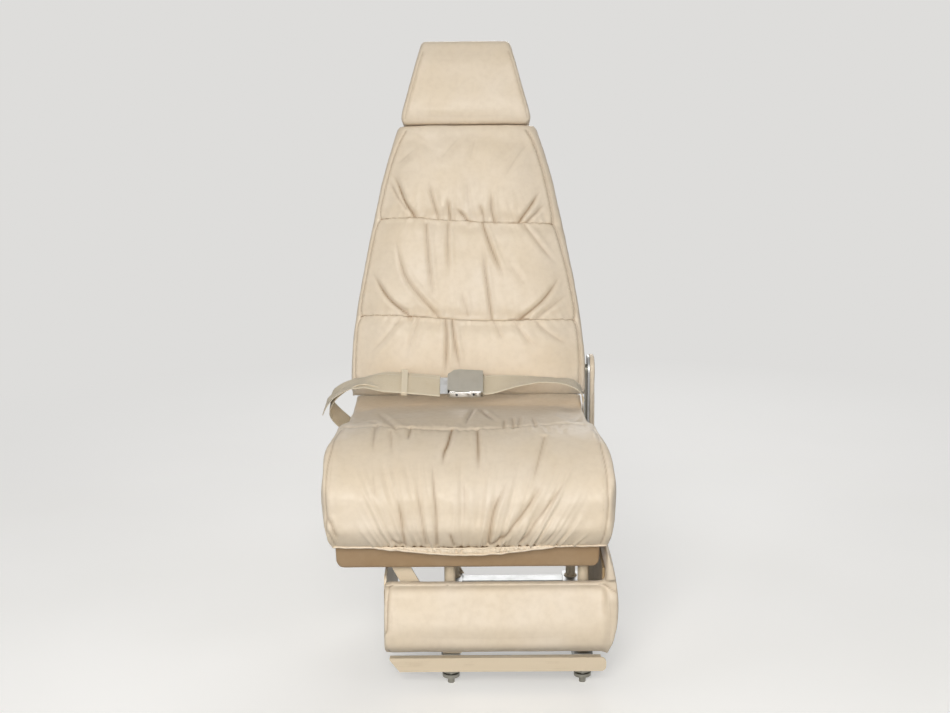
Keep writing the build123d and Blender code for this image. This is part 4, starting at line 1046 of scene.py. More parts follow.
@dataclass
class BackPad(LeaningPad):
    """The back cushion: three sewn panels between two side borders."""

    node: str = "back_cushion"
    name: str = "back_leather"
    body: str = "back"
    rounds: int = 4
    shrink: float = 7.0
    swell: float = 11.0
    fill: float = 0.7
    drift: float = 0.9
    upper_seam: tuple[Flat, ...] = (
        (-185, 494), (-130, 494), (-96, 494), (-38, 488), (33, 484), (95, 482), (178, 482),
    )
    lower_seam: tuple[Flat, ...] = (
        (-224, 307), (-150, 307), (-115, 305), (-31, 298), (40, 294), (98, 296), (219, 297),
    )
    left_border: tuple[Flat, ...] = (
        (-127, 668), (-140, 640), (-154, 606), (-170, 548), (-187, 476), (-207, 382),
        (-223, 292), (-228, 207), (-228, 160),
    )
    right_border: tuple[Flat, ...] = (
        (122, 668), (137, 638), (155, 575), (171, 495), (186, 435), (200, 392),
        (217, 300), (222, 207), (222, 160),
    )
    wider_left: tuple[Flat, ...] = ((200, 0), (480, 1.5), (560, 3.5), (673, 1.5))
    wider_right: tuple[Flat, ...] = ((200, 0), (330, 1), (400, 2), (480, 3), (560, 5), (640, 3), (673, 2))
    panel_rise: float = 5.5
    gather_pitch: float = 9.0
    gather_reach: float = 20.0

    def held(self, co: np.ndarray) -> np.ndarray:
        """Hold the rear face, which lies on the pan, and the sewn lines."""
        flat = self.axes.local(co)
        firm = (flat[:, 2] < 24).astype(float)
        for seam in (self.upper_seam, self.lower_seam):
            line = np.array([(*p, 0.0) for p in seam])
            spot = np.stack([flat[:, 0], flat[:, 1], np.zeros(len(flat))], 1)
            dist, _share, _away = line_distance(spot, line)
            firm = np.maximum(firm, (dist < 4) & (flat[:, 2] > 30))
        return firm

    def softness(self, flat: np.ndarray) -> np.ndarray:
        """Only the face between the borders follows the cloth."""
        left, right = np.array(self.left_border[::-1]), np.array(self.right_border[::-1])
        inside = np.minimum(
            flat[:, 0] - np.interp(flat[:, 1], left[:, 1], left[:, 0]),
            np.interp(flat[:, 1], right[:, 1], right[:, 0]) - flat[:, 0],
        )
        ends = ease((664 - flat[:, 1]) / 24) * ease((flat[:, 1] - 175) / 30)
        return ease((inside - 3) / 22) * ends * ease((flat[:, 2] - 34) / 18)

    def unevenness(self, co: np.ndarray) -> np.ndarray:
        """Swell each panel between its seams, and gather the leather above and below them."""
        rise = super().unevenness(co)
        flat = self.axes.local(co)
        front = ease((flat[:, 2] - 34) / 22)
        for seam, above, below in ((self.upper_seam, 1.5, 0.6), (self.lower_seam, 0.8, 0.8)):
            line = np.array(seam)
            level = np.interp(flat[:, 0], line[:, 0], line[:, 1])
            gap = flat[:, 1] - level
            reach = np.exp(-np.abs(gap) / self.gather_reach)
            share = np.where(gap > 0, above, below) * reach * front
            middle = ease((1 - np.abs(flat[:, 0]) / 150) / 0.5)
            wave = np.array(
                [
                    noise.noise(Vector((x / self.gather_pitch + g * 0.012 * x / 30, g / 60, 3.0)))
                    for x, g in zip(flat[:, 0], gap)
                ]
            )
            rise += 3.4 * share * (0.35 + 0.65 * middle) * wave
            rise -= self.panel_rise * np.exp(-((gap / 17) ** 2)) * front
        return rise

    def folds(self) -> list[Fold]:
        """The creases of the back, as its leather has settled.

        Returns:
            The folds, each from its seam outwards.
        """
        return [
            Fold(((-98, 494), (-116, 514), (-134, 559), (-152, 586)), 3.4, 6.0, 0.85),
            Fold(((-118, 512), (-143, 542), (-158, 572)), 1.6, 5.0, 0.4),
            Fold(((-54, 490), (-69, 532), (-74, 566)), 2.2, 5.0, 0.5),
            Fold(((-32, 488), (-38, 534)), 2.4, 4.0, 0.6),
            Fold(((3, 508), (-2, 572)), 1.2, 7.0, 0.15, True),
            Fold(((4, 485), (-22, 512)), 2.8, 4.5, 0.7),
            Fold(((33, 484), (23, 524)), 2.2, 4.5, 0.5),
            Fold(((54, 483), (42, 504), (47, 546)), 2.6, 5.0, 0.6),
            Fold(((97, 482), (122, 512), (145, 548)), 3.4, 5.5, 0.85),
            Fold(((112, 483), (135, 501), (156, 524)), 1.8, 5.0, 0.5),
            Fold(((-8, 657), (-32, 628), (-56, 598)), 1.6, 10.0, 0.1, True),
            Fold(((16, 650), (6, 600)), 1.2, 9.0, 0.1, True),
            Fold(((130, 646), (96, 616), (69, 562)), 1.6, 11.0, 0.12, True),
            Fold(((-140, 600), (-100, 628)), 1.2, 9.0, 0.15, True),
            Fold(((-78, 480), (-76, 407), (-65, 331)), 2.4, 5.5, 0.45),
            Fold(((-36, 482), (-41, 424), (-33, 376)), 2.2, 5.5, 0.4),
            Fold(((28, 484), (41, 446), (54, 410), (72, 370)), 3.2, 5.5, 0.7),
            Fold(((46, 296), (36, 366), (27, 440)), 2.6, 5.0, 0.55),
            Fold(((108, 480), (144, 427), (180, 399)), 2.0, 6.0, 0.4),
            Fold(((-53, 300), (-97, 347), (-129, 394), (-139, 465)), 2.8, 6.0, 0.55),
            Fold(((-108, 304), (-138, 323), (-169, 359), (-192, 398)), 3.4, 6.0, 0.85),
            Fold(((96, 295), (125, 316), (157, 347), (184, 386)), 3.2, 6.0, 0.8),
            Fold(((130, 298), (156, 318), (199, 348)), 1.6, 6.0, 0.3),
            Fold(((0, 306), (-13, 356)), 1.4, 6.0, 0.25),
            Fold(((79, 405), (112, 358)), 1.3, 8.0, 0.15, True),
            Fold(((-42, 297), (-39, 250), (-45, 180)), 3.2, 5.0, 0.6),
            Fold(((-30, 297), (-27, 250), (-14, 196)), 3.0, 5.0, 0.6),
            Fold(((49, 293), (69, 250)), 1.6, 6.0, 0.25),
            Fold(((88, 294), (107, 258), (133, 236)), 1.8, 7.0, 0.3),
            Fold(((128, 294), (156, 262), (200, 246)), 1.8, 7.0, 0.3),
            Fold(((-93, 299), (-111, 255), (-117, 220)), 1.6, 7.0, 0.2),
            Fold(((-129, 300), (-165, 251), (-200, 227)), 1.6, 7.0, 0.2),
        ]

    def build(self) -> None:
        """Make the back cushion, its borders and its stitching."""
        self.shape()
        self.inflate()
        self.refine()
        seams = [
            Seam(self.upper_seam, 3.4, 7.0),
            Seam(self.lower_seam, 3.4, 7.0),
            Seam(self.left_border, 1.5, 3.2, 1.4, 0.5),
            Seam(self.right_border, 1.5, 3.2, 1.4, 0.5),
            Seam(tuple((x + 6, h) for x, h in self.right_border), 0.7, 3.0, 1.2, 0.35),
        ]
        self.crease(self.folds(), seams)
        self.dress()
        for side, border in (("left", self.left_border), ("right", self.right_border)):
            inner = [(x * 0.972, h) for x, h in border]
            self.stitches(inner, f"back_{side}_stitches")


@dataclass
class HeadrestPad(LeaningPad):
    """The headrest: a plain tapered pad with boxed sides."""

    node: str = "headrest_cushion"
    name: str = "headrest_leather"
    body: str = "headrest"
    voxel: float = 4.0
    rounds: int = 3
    shrink: float = 5.0
    swell: float = 8.0
    fill: float = 0.75
    drift: float = 0.35
    face: float = 66.0
    low: float = 678.0
    high: float = 838.0
    half_low: float = 123.0
    half_top: float = 84.0
    share: float = 0.2
    foot_drop: float = 3.2
    border_inset: float = 1.5
    wider_left: tuple[Flat, ...] = ((678, 7), (838, 4))
    wider_right: tuple[Flat, ...] = ((678, 4), (838, 0.5))

    def trimmed(self, flat: np.ndarray) -> np.ndarray:
        """Lower the foot so that only a thin gap is left over the back, and roll the face over."""
        front = ease((flat[:, 2] - 16) / 16)
        flat[:, 2] -= 9 * front * ease((self.low + 50 - flat[:, 1]) / 50) ** 2
        flat[:, 2] -= 11 * front * ease((flat[:, 1] - self.high + 62) / 62) ** 2
        flat[:, 1] -= self.foot_drop * ease((self.low + 26 - flat[:, 1]) / 26)
        return flat

    def softness(self, flat: np.ndarray) -> np.ndarray:
        """Only the face inside the welts follows the cloth."""
        rise = (flat[:, 1] - self.low) / (self.high - self.low)
        half = self.half_low + (self.half_top - self.half_low) * rise
        inside = ease((half - 10 - np.abs(flat[:, 0])) / 26)
        ends = ease((flat[:, 1] - self.low - 8) / 22) * ease((self.high - 12 - flat[:, 1]) / 24)
        return inside * ends * ease((flat[:, 2] - 20) / 16)

    def held(self, co: np.ndarray) -> np.ndarray:
        """Hold the walls of the pocket for the plate, and the foot."""
        flat = self.axes.local(co)
        pocket = (np.abs(flat[:, 0]) < 64) & (flat[:, 2] > -9) & (flat[:, 2] < 14) & (flat[:, 1] < 792)
        return (pocket | (flat[:, 1] < self.low + 5)).astype(float)

    def build(self) -> None:
        """Make the headrest with its welted borders."""
        self.shape()
        self.inflate()
        self.refine()
        taper, tall = self.half_low - self.half_top, self.high - self.low
        borders = [
            tuple(
                (side * (self.half_low - self.border_inset - taper * t), self.low + tall * t)
                for t in (0.02, 0.3, 0.6, 0.9)
            )
            for side in (-1, 1)
        ]
        folds = [
            Fold(((-110, 690), (-60, 686), (0, 685), (60, 686), (112, 690)), 0.7, 8.0, 0.06, True),
        ]
        seams = [Seam(border, 0.8, 3.0, 1.3, 0.28) for border in borders]
        self.crease(folds, seams)
        self.dress()
        for side, border in zip(("left", "right"), borders):
            self.stitches([(x * 0.955, h) for x, h in border], f"headrest_{side}_stitches")


@dataclass
class SeatPad(LeatherPad):
    """The seat cushion: a flat top that rolls over the front in gathered leather."""

    node: str = "seat_cushion"
    name: str = "seat_leather"
    body: str = "seat_base"
    rounds: int = 5
    shrink: float = 7.0
    swell: float = 10.0
    fill: float = 0.7
    drift: float = 1.0
    middle: float = -83.0
    wider_right: tuple[Flat, ...] = ((-260, 6), (-150, 5), (-60, 0))
    brow_z: float = 404.0
    foot_z: float = 274.3
    gather_x: float = -98.0
    pleat_pitch: float = 9.5
    pleat_rise: float = 4.2
    welt_r: float = 1.7
    hem_y: float = -244.0

    def trimmed(self, flat: np.ndarray) -> np.ndarray:
        """Fill the foot of the front roll, and let its lip hang."""
        x, y, z = flat.T
        front = ease((-y - 190) / 30)
        y = y - 6.5 * front * np.exp(-(((z - 296) / 26) ** 2))
        z = z - 6.0 * ease((-y - 226) / 12) * ease((302 - z) / 26)
        square = ease((z - 384) / 46) * ease((-y - 30) / 60) * ease((np.abs(x - self.middle) - 120) / 70)
        x = x + np.where(x < self.middle, -14.0, 9.0) * square
        return np.stack([x, y, z], 1)

    def softness(self, flat: np.ndarray) -> np.ndarray:
        """The top and the roll follow the cloth, but not the sides, the rear and the foot."""
        x, y, z = flat.T
        sides = ease((226 - np.abs(x - self.middle)) / 30)
        return sides * ease((110 - y) / 60) * ease((z - 296) / 34)

    def held(self, co: np.ndarray) -> np.ndarray:
        """Hold the foot of the cushion, which lies on the pan."""
        return (co[:, 2] < (self.foot_z + 5) * MM).astype(float)

    def unevenness(self, co: np.ndarray) -> np.ndarray:
        """Pleats that draw together down the front roll, and small gathers along the brow seam."""
        rise = super().unevenness(co)
        x, y, z = (co / MM).T
        roll = ease((-y - 165) / 45)
        t = np.clip((self.brow_z - z) / (self.brow_z - self.foot_z), -0.2, 1)
        across = self.gather_x + (x - self.gather_x) / (1 - 0.36 * np.clip(t, 0, 1))
        side = ease((204 - np.abs(x - self.middle - 6)) / 55)
        pleat = np.array(
            [noise.noise(Vector((a / self.pleat_pitch, s * 1.1, 7.0))) for a, s in zip(across, t)]
        )
        hem = ease((t - 0.55) / 0.4)
        rise += self.pleat_rise * roll * side * pleat * (0.75 + 0.7 * hem) * ease((t + 0.15) / 0.3)
        brow = np.exp(-(((y + 128 + 0.02 * np.abs(x - self.middle)) / 17) ** 2)) * (z > 420)
        small = np.array([noise.noise(Vector((a / 8, b / 26, 1.0))) for a, b in zip(x, y)])
        rise += 2.2 * brow * small * side
        return rise

    def folds(self) -> list[Fold]:
        """The creases of the seat, as its leather has settled.

        Returns:
            The folds.
        """
        return [
            Fold(((-109, -132, 441), (-114, -177, 431), (-123, -199, 422), (-124, -224, 402)), 3.6, 5.0, 0.9),
            Fold(((-66, -134, 441), (-63, -195, 424), (-64, -234, 395)), 3.0, 5.0, 0.7),
            Fold(((-180, -128, 443), (-183, -170, 433)), 2.4, 4.5, 0.6),
            Fold(((-238, -112, 445), (-245, -159, 435), (-238, -202, 421)), 2.0, 5.0, 0.35),
            Fold(((-213, -140, 439), (-208, -204, 420)), 1.6, 5.0, 0.25),
            Fold(((-151, -245, 279), (-158, -257, 320), (-164, -250, 365), (-168, -232, 392)), 2.2, 6.0, 0.4),
            Fold(((-186, -244, 279), (-191, -257, 322), (-199, -249, 366)), 2.8, 5.5, 0.6),
            Fold(
                ((-134, -243, 278), (-133, -257, 330), (-137, -250, 362), (-142, -205, 414)), 2.6, 5.0, 0.55
            ),
            Fold(((48, -160, 434), (35, -220, 404), (22, -248, 370)), 2.2, 6.0, 0.4),
            Fold(((-48, -244, 279), (-44, -257, 320), (-32, -252, 358), (-12, -236, 388)), 3.0, 5.5, 0.6),
            Fold(((-44, -244, 278), (-18, -252, 296), (22, -256, 348), (49, -235, 390)), 3.2, 6.0, 0.65),
            Fold(((4, -246, 280), (48, -257, 344), (92, -232, 392)), 2.6, 6.5, 0.45),
            Fold(((-90, -236, 390), (-85, -254, 360), (-88, -257, 312)), 1.6, 7.0, 0.2, True),
            Fold(((-239, -230, 396), (-233, -256, 355)), 1.4, 8.0, 0.15, True),
            Fold(((-105, -243, 279), (-113, -254, 305)), 2.4, 4.5, 0.6),
            Fold(((-192, -243, 279), (-212, -248, 292)), 2.4, 5.0, 0.55),
            Fold(((40, -243, 279), (64, -255, 306)), 1.8, 6.0, 0.3),
            Fold(((-72, 62, 430), (-81, -68, 445), (-88, -130, 443)), 2.8, 6.0, 0.55, True),
            Fold(((-60, 50, 432), (-50, -43, 442), (-32, -104, 445)), 2.6, 6.0, 0.5, True),
            Fold(((-21, -130, 444), (-18, -70, 445)), 1.8, 4.0, 0.45),
            Fold(((-4, -130, 445), (-5, -50, 442)), 1.8, 4.0, 0.45),
            Fold(((4, -128, 445), (11, -40, 441)), 1.6, 4.0, 0.4),
            Fold(((33, -126, 445), (29, -52, 442)), 1.6, 4.0, 0.4),
            Fold(((-205, -128, 445), (-229, -80, 445), (-252, 40, 432)), 2.4, 7.0, 0.3),
            Fold(((-240, -100, 445), (-262, -72, 445), (-285, -55, 440)), 2.0, 6.0, 0.3),
            Fold(((95, -96, 445), (118, -40, 442), (128, 30, 436)), 1.6, 8.0, 0.15, True),
            Fold(((-296, -250, 290), (-304, -254, 308), (-314, -252, 334)), 2.2, 5.0, 0.4, True),
        ]

    def build(self) -> None:
        """Make the seat cushion, its hem and its stitching."""
        self.shape()
        self.inflate()
        self.refine()
        left = (
            (-300, -120, 440), (-309, -190, 425), (-315, -222, 405), (-316, -247, 375),
            (-316, -254, 338), (-309, -252, 300), (-303, -244, 278),
        )
        right = (
            (134, -120, 440), (142, -190, 425), (147, -225, 404), (149, -249, 372),
            (149, -254, 337), (144, -252, 300), (138, -244, 278),
        )
        brow = (
            (-300, -104, 444), (-242, -117, 445), (-181, -130, 443), (-109, -136, 441),
            (-66, -135, 442), (-30, -128, 444), (39, -117, 445), (118, -96, 445),
        )
        seams = [
            Seam(left, 1.8, 4.0, 1.4, 0.5),
            Seam(right, 1.8, 4.0, 1.4, 0.5),
            Seam(brow, 2.4, 7.0, 1.4, 0.35),
        ]
        self.crease(self.folds(), seams)
        self.dress()
        self.hem()
        self.stitches([(x + 7, y, z) for x, y, z in left], "seat_left_stitches")
        self.stitches([(x - 7, y, z) for x, y, z in right], "seat_right_stitches")

    def hem(self) -> None:
        """Sew the welt along the foot of the roll, and the ruffled band that sags from it."""
        straight = (
            (-309, 271), (-285, 270.5), (-240, 270), (-180, 269), (-90, 267), (0, 269), (60, 270.5),
            (110, 271), (150, 271),
        )
        sagging = ((-236, 269.5), (-190, 265), (-140, 259.5), (-90, 256.5), (-40, 258), (10, 264), (62, 270))
        for number, levels in enumerate((straight, sagging)):
            points = spline_points([(x, self.hem_y - 2 * number, z) for x, z in levels], 4.0)
            wobble = np.array([noise.noise(Vector((p[0] / 17, number * 5.0, 2.0))) for p in points])
            points[:, 2] += 1.1 * wobble
            points[:, 1] -= 1.2 * np.roll(wobble, 3)
            welt = tube(f"seat_hem_welt_{number + 1}", points * MM, self.welt_r, 10)
            finish_piece(welt, Finish.LEATHER, self.body, None)
        top, foot = np.array(straight, float), np.array(sagging, float)
        across, down = 170, 7
        verts = []
        for i in range(across + 1):
            x = foot[0, 0] + (foot[-1, 0] - foot[0, 0]) * i / across
            upper, lower = np.interp(x, top[:, 0], top[:, 1]), np.interp(x, foot[:, 0], foot[:, 1])
            for k in range(down + 1):
                v = k / down
                ruffle = noise.noise(Vector((x / 5.0, v * 0.8, 9.0)))
                out = 1.8 * math.sin(math.pi * v) + 5.0 * ruffle * math.sin(math.pi * min(1, v + 0.2) * 0.8)
                verts.append((x, self.hem_y + 1.0 - out, upper + (lower - upper) * v))
        mesh = bpy.data.meshes.new("seat_hem_band")
        mesh.from_pydata([tuple(c * MM for c in v) for v in verts], [], grid_faces(across, down))
        band = mesh_object("seat_hem_band", mesh)
        thick = band.modifiers.new("thick", "SOLIDIFY")
        thick.thickness, thick.offset = 2.4 * MM, 0.0
        apply_all(band)
        finish_piece(band, Finish.LEATHER, self.body, None)


@dataclass
class PlainPad(LeatherPad):
    """A flat leather pad: pedestal, skirt or armrest."""

    voxel: float = 4.0
    rounds: int = 4
    fill: float = 0.85
    drift: float = 0.35
    seams: tuple[Seam, ...] = ()
    creases: tuple[Fold, ...] = ()
    rows: tuple[tuple[tuple[float, ...], ...], ...] = ()
    finish: Finish = Finish.LEATHER

    def build(self) -> None:
        """Make the pad with its seams and stitching."""
        self.shape()
        self.refine()
        self.crease(self.creases, self.seams)
        self.dress(self.finish)
        for number, row in enumerate(self.rows):
            self.stitches(row, f"{self.name}_stitches_{number + 1}")


@dataclass
class PedestalSkin(PlainPad):
    """The pedestal's leather, which runs round its aisle corner in one skin."""

    board_face: float = -212.0
    top: float = 198.0
    left: float = -225.5
    corner: float = 10.0

    def trimmed(self, flat: np.ndarray) -> np.ndarray:
        """Roll the front face over at its top and foot, and round its left upper corner."""
        x, y, z = flat.T
        front = ease((self.board_face - y) / 8)
        y = y + front * (10 * ease((z - 158) / 40) ** 2 * (z < 205) + 8 * ease((100 - z) / 28) ** 2)
        cx, cz = self.left + self.corner, self.top - self.corner
        dx, dz = np.minimum(x - cx, 0), np.maximum(z - cz, 0)
        far = np.hypot(dx, dz) + 1e-9
        cut = (dx < 0) & (dz > 0) & (far > self.corner) & (y < self.board_face)
        pull = np.where(cut, self.corner / far, 1)
        return np.stack([np.where(cut, cx + dx * pull, x), y, np.where(cut, cz + dz * pull, z)], 1)


@dataclass
class SkirtPad(PlainPad):
    """The front skirt, which leans in under the roll."""

    top: float = 274.0
    lean: float = 0.25
    longer: float = 1.12

    def trimmed(self, flat: np.ndarray) -> np.ndarray:
        """Lean the skirt in towards its foot."""
        flat[:, 1] += self.lean * (self.top - flat[:, 2])
        flat[:, 2] = self.top - (self.top - flat[:, 2]) * self.longer
        return flat


def plain_pads() -> list[PlainPad]:
    """The flat leather pads of the seat.

    Returns:
        The pads, ready to build.
    """
    left_edge = (
        (-210, -226, 196), (-218, -232, 188), (-220, -238, 170), (-220, -240, 140),
        (-219, -238, 104), (-217, -230, 77),
    )
    right_edge = ((152, -238, 186), (158, -241, 150), (156, -238, 104), (153, -228, 77))
    sag = ((-215, -238, 112), (-100, -239.5, 108), (20, -239.5, 108), (138, -238, 112))
    arm_edge = ((158, 242, 488), (158, 213, 462), (158, 222, 300), (158, 242, 256))
    return [
        PedestalSkin(
            "pedestal_pad",
            "pedestal_leather",
            "seat_base",
            rounds=12,
            drift=0.8,
            more=("aisle_pad",),
            seams=(
                Seam(left_edge, 1.8, 4.0, 1.5, 0.6),
                Seam(((140, -228, 198), (150, -236, 194), (168, -234, 186)), 2.0, 4.0, 1.4, 0.6),
                Seam(right_edge, 0.9, 7.0, 1.0, 0.12),
            ),
            creases=(
                Fold(sag, 0.9, 12.0, 0.05, True),
                Fold(((-118, -232, 196), (-116, -238, 188)), 1.2, 3.5, 0.5),
            ),
            rows=(((-210, -238, 100), (-211, -240, 140), (-210, -238, 178)),),
        ),
        SkirtPad(
            "front_skirt",
            "front_skirt_leather",
            "seat_base",
            finish=Finish.SKIRT,
            creases=(Fold(((-292, -224, 262), (-83, -224, 258), (124, -224, 262)), 0.8, 8.0, 0.05, True),),
        ),
        PlainPad("side_skirts", "side_skirt_leather", "seat_base", finish=Finish.SKIRT),
        PlainPad(
            "armrest_pad",
            "armrest_leather",
            "armrest",
            voxel=2.5,
            rounds=3,
            seams=(Seam(arm_edge, 0.8, 3.0, 1.0, 0.4),),
        ),
    ]


# Lap belt


@dataclass
class BeltAxes:
    """The plane the belt lies in: across the seat, away from it, and down its front."""

    origin: Point = (-83.0, 104.6, 465.5)
    tilt: float = 30.0

    def place(self, x: float, away: float, down: float) -> Vector:
        """A point in the belt's plane, in the row frame.

        Args:
            x: Across.
            away: Off the seat.
            down: Towards the front.

        Returns:
            The place, in metres.
        """
        s, c = math.sin(math.radians(self.tilt)), math.cos(math.radians(self.tilt))
        ox, oy, oz = self.origin
        return Vector((ox + x, oy - s * away - c * down, oz + c * away - s * down)) * MM


@dataclass
class LapBelt:
    """Both halves of the webbing and the loose tail."""

    axes: BeltAxes = field(default_factory=BeltAxes)
    side: float = 218.25
    end: float = -162.0
    width: float = 50.0
    thickness: float = 1.5
    rows: int = 12

    def strap(
        self, name: str, route: Sequence[Flat], node: str, shift: float, lean: Sequence[float]
    ) -> bpy.types.Object:
        """Lay a strap along a smooth line through its route.

        Args:
            name: The piece's name.
            route: Its corners in the belt's plane.
            node: The CAD node it stands for.
            shift: How far down it lies.
            lean: Degrees that its width is turned, spread along it.

        Returns:
            The strap.
        """
        line = spline_points(route, 3.0)
        count = len(line)
        way = np.gradient(line, axis=0)
        way /= np.linalg.norm(way, axis=1)[:, None]
        out = np.stack([-way[:, 1], way[:, 0]], 1)
        turn = np.radians(np.interp(np.linspace(0, 1, count), np.linspace(0, 1, len(lean)), lean))
        run = np.concatenate([[0], np.cumsum(np.linalg.norm(np.diff(line, axis=0), axis=1))])
        free = ease((run - 26) / 34) * ease((run[-1] - run - 30) / 40)
        verts, uvs = [], []
        for i in range(count):
            for k in range(self.rows + 1):
                w = (k / self.rows - 0.5) * self.width
                curl = 1.1 * (abs(w) / (self.width / 2)) ** 3 * math.sin(run[i] / 37)
                ripple = 0.9 * noise.noise(Vector((run[i] / 40, w / 30, 4.0)))
                off = w * math.sin(turn[i]) + free[i] * (curl + ripple)
                x, y = line[i] + out[i] * off
                verts.append(tuple(self.axes.place(x, y, shift + w * math.cos(turn[i]))))
                uvs.append((run[i] * MM, (w + self.width / 2) * MM))
        mesh = bpy.data.meshes.new(name)
        mesh.from_pydata(verts, [], grid_faces(count - 1, self.rows))
        layer = mesh.uv_layers.new(name="strap")
        for loop in mesh.loops:
            layer.data[loop.index].uv = uvs[loop.vertex_index]
        obj = mesh_object(name, mesh)
        thick = obj.modifiers.new("thick", "SOLIDIFY")
        thick.thickness = self.thickness * MM
        thick.offset = 0.0
        edge = obj.modifiers.new("edge", "BEVEL")
        edge.width = 0.5 * MM
        edge.segments = 2
        edge.limit_method = "ANGLE"
        apply_all(obj)
        finish_piece(obj, Finish.WEBBING, "seat_base", 50)
        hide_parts(node)
        return obj

    def build(self) -> None:
        """Lay the left half, its loose tail and the right half."""
        s = self.side
        bends = (
            (0.756, 0.078), (0.98, 0.032), (1.146, -0.101), (1.205, -0.247), (1.127, -0.394),
            (1, -0.541),
        )
        left = [(-52.3, -0.65), *((-s * a, s * b) for a, b in bends), (-s, self.end)]
        tail = [(x, y + 3.4) for x, y in left[:3]] + [(-s * 1.168, -s * 0.082), (-s * 1.233, -s * 0.211)]
        bends = ((0.541, 0.055), (0.77, 0.055), (0.944, -0.009), (1, -0.165))
        right = [(12, -2.7), (34, -2.7), *((s * a, s * b) for a, b in bends), (s, self.end)]
        self.strap("belt_left_strap", left, "belt_left", 0.0, (0, 0, 0, -20, -28, -16, -2, 0, 0, 0, 0))
        self.strap("belt_tail_strap", tail, "belt_tail", 9.0, (0, 0, 0, -16, -27, -22, -8))
        self.strap("belt_right_strap", right, "belt_right", 0.0, (0, 0, 20, 32, 32, 18, 2, 0, 0, 0))


# Hard pieces


@dataclass
class HardParts:
    """CAD pieces that keep their own shape and get their finish."""

    soft: tuple[str, ...] = (
        "seat_cushion", "back_cushion", "headrest_cushion", "pedestal_pad", "aisle_pad", "front_skirt",
        "side_skirts", "armrest_pad", "belt_left", "belt_right", "belt_tail",
    )

    def build(self) -> None:
        """Give each rigid CAD node the finish of its slot."""
        # Reversed, so that the leather slot keeps its first finish and not the skirt's.
        finishes = {finish.slot: finish for finish in reversed(Finish)}
        for row in frame["record"]["subparts"]:
            if row["node"] in self.soft:
                continue
            node = frame["nodes"][row["node"]]
            node.data.materials.clear()
            node.data.materials.append(finishes[row["material_slot"]].material())
            log.info("%s: %s", row["node"], row["material_slot"])


@dataclass
class WeldsAndFixings:
    """Weld beads at the posts, and nuts on the feet."""

    stud_x: float = 114.3
    stud_y: float = 177.8
    post_r: float = 9.525
    beam_top: float = 62.0
    rail_bottom: float = 232.0
    nut_z: float = 22.4

    def bead(self, x: float, y: float, z: float, name: str) -> bpy.types.Object:
        """Lay a fillet weld round a post.

        Args:
            x: Across.
            y: Depth.
            z: Height of the joint.
            name: The bead's name.

        Returns:
            The bead.
        """
        deselect()
        bpy.ops.mesh.primitive_torus_add(
            location=(x * MM, y * MM, z * MM),
            major_segments=48,
            minor_segments=8,
            major_radius=(self.post_r + 1.2) * MM,
            minor_radius=2.2 * MM,
        )
        obj = bpy.context.object
        apply_place(obj)
        co = places(obj)
        angle = np.arctan2(co[:, 1] - y * MM, co[:, 0] - x * MM)
        co[:, 2] += 0.35 * MM * np.sin(angle * 22)
        put_places(obj, co)
        obj.name = name
        return obj

    def build(self) -> None:
        """Lay the beads, and screw the nuts on the feet."""
        beads = []
        for z in (self.beam_top + 0.8, self.rail_bottom - 0.8):
            for sx in (-1, 1):
                for sy in (-1, 1):
                    beads.append(self.bead(sx * self.stud_x, sy * self.stud_y, z, "bead"))
        finish_piece(joined(beads, "post_weld_beads"), Finish.PAINT, "seat_base")
        nuts = []
        for sx in (-1, 1):
            for sy in (-1, 1):
                deselect()
                spot = (sx * self.stud_x * MM, sy * self.stud_y * MM, self.nut_z * MM)
                bpy.ops.mesh.primitive_cylinder_add(vertices=6, radius=14.5 * MM, depth=7 * MM, location=spot)
                nut = bpy.context.object
                chamfer = nut.modifiers.new("chamfer", "BEVEL")
                chamfer.width = 1.1 * MM
                chamfer.segments = 2
                apply_place(nut)
                apply_all(nut)
                nuts.append(nut)
        finish_piece(joined(nuts, "foot_nuts"), Finish.STEEL, "seat_base", 30)


@dataclass
class BuckleEdge:
    """The polished front edge of the buckle's lid, with black discs as painted shade in its two pin holes."""

    axes: BeltAxes = field(default_factory=BeltAxes)
    middle_x: float = -5.0
    length: float = 58.0
    height: float = 11.5
    thickness: float = 1.4
    front: float = 31.6
    level: float = 5.6
    hole_apart: float = 31.0
    hole_r: float = 2.3

    def plate(self) -> bpy.types.Object:
        """Shape the edge plate with rounded corners."""
        deselect()
        bpy.ops.mesh.primitive_cube_add(size=1)
        obj = bpy.context.object
        obj.name = "buckle_lid_edge"
        obj.scale = (self.length * MM, self.height * MM, self.thickness * MM)
        apply_place(obj)
        soft = obj.modifiers.new("soft", "BEVEL")
        soft.width, soft.segments = 0.6 * MM, 3
        apply_all(obj)
        return obj

    def build(self) -> None:
        """Fix the plate to the lid's front wall, and black discs there as painted shade for the holes."""
        origin = self.axes.place(self.middle_x, self.level, self.front)
        s, c = math.sin(math.radians(self.axes.tilt)), math.cos(math.radians(self.axes.tilt))
        lean = Matrix.Rotation(math.radians(-30), 4, "X")
        turn = Matrix(((1, 0, 0), (0, -s, -c), (0, c, -s))).to_4x4()
        place = Matrix.Translation(origin) @ turn @ lean
        plate = self.plate()
        plate.data.transform(place)
        finish_piece(plate, Finish.CHROME, "buckle_lid", 30)
        holes = []
        for side in (-1, 1):
            deselect()
            bpy.ops.mesh.primitive_cylinder_add(vertices=24, radius=self.hole_r * MM, depth=0.5 * MM)
            hole = bpy.context.object
            spot = Vector((side * self.hole_apart / 2 * MM, -0.5 * MM, self.thickness / 2 * MM))
            hole.data.transform(place @ Matrix.Translation(spot))
            holes.append(hole)
        finish_piece(joined(holes, "buckle_pin_hole_shade"), Finish.CYLINDER, "buckle_lid", 30)


# Studio


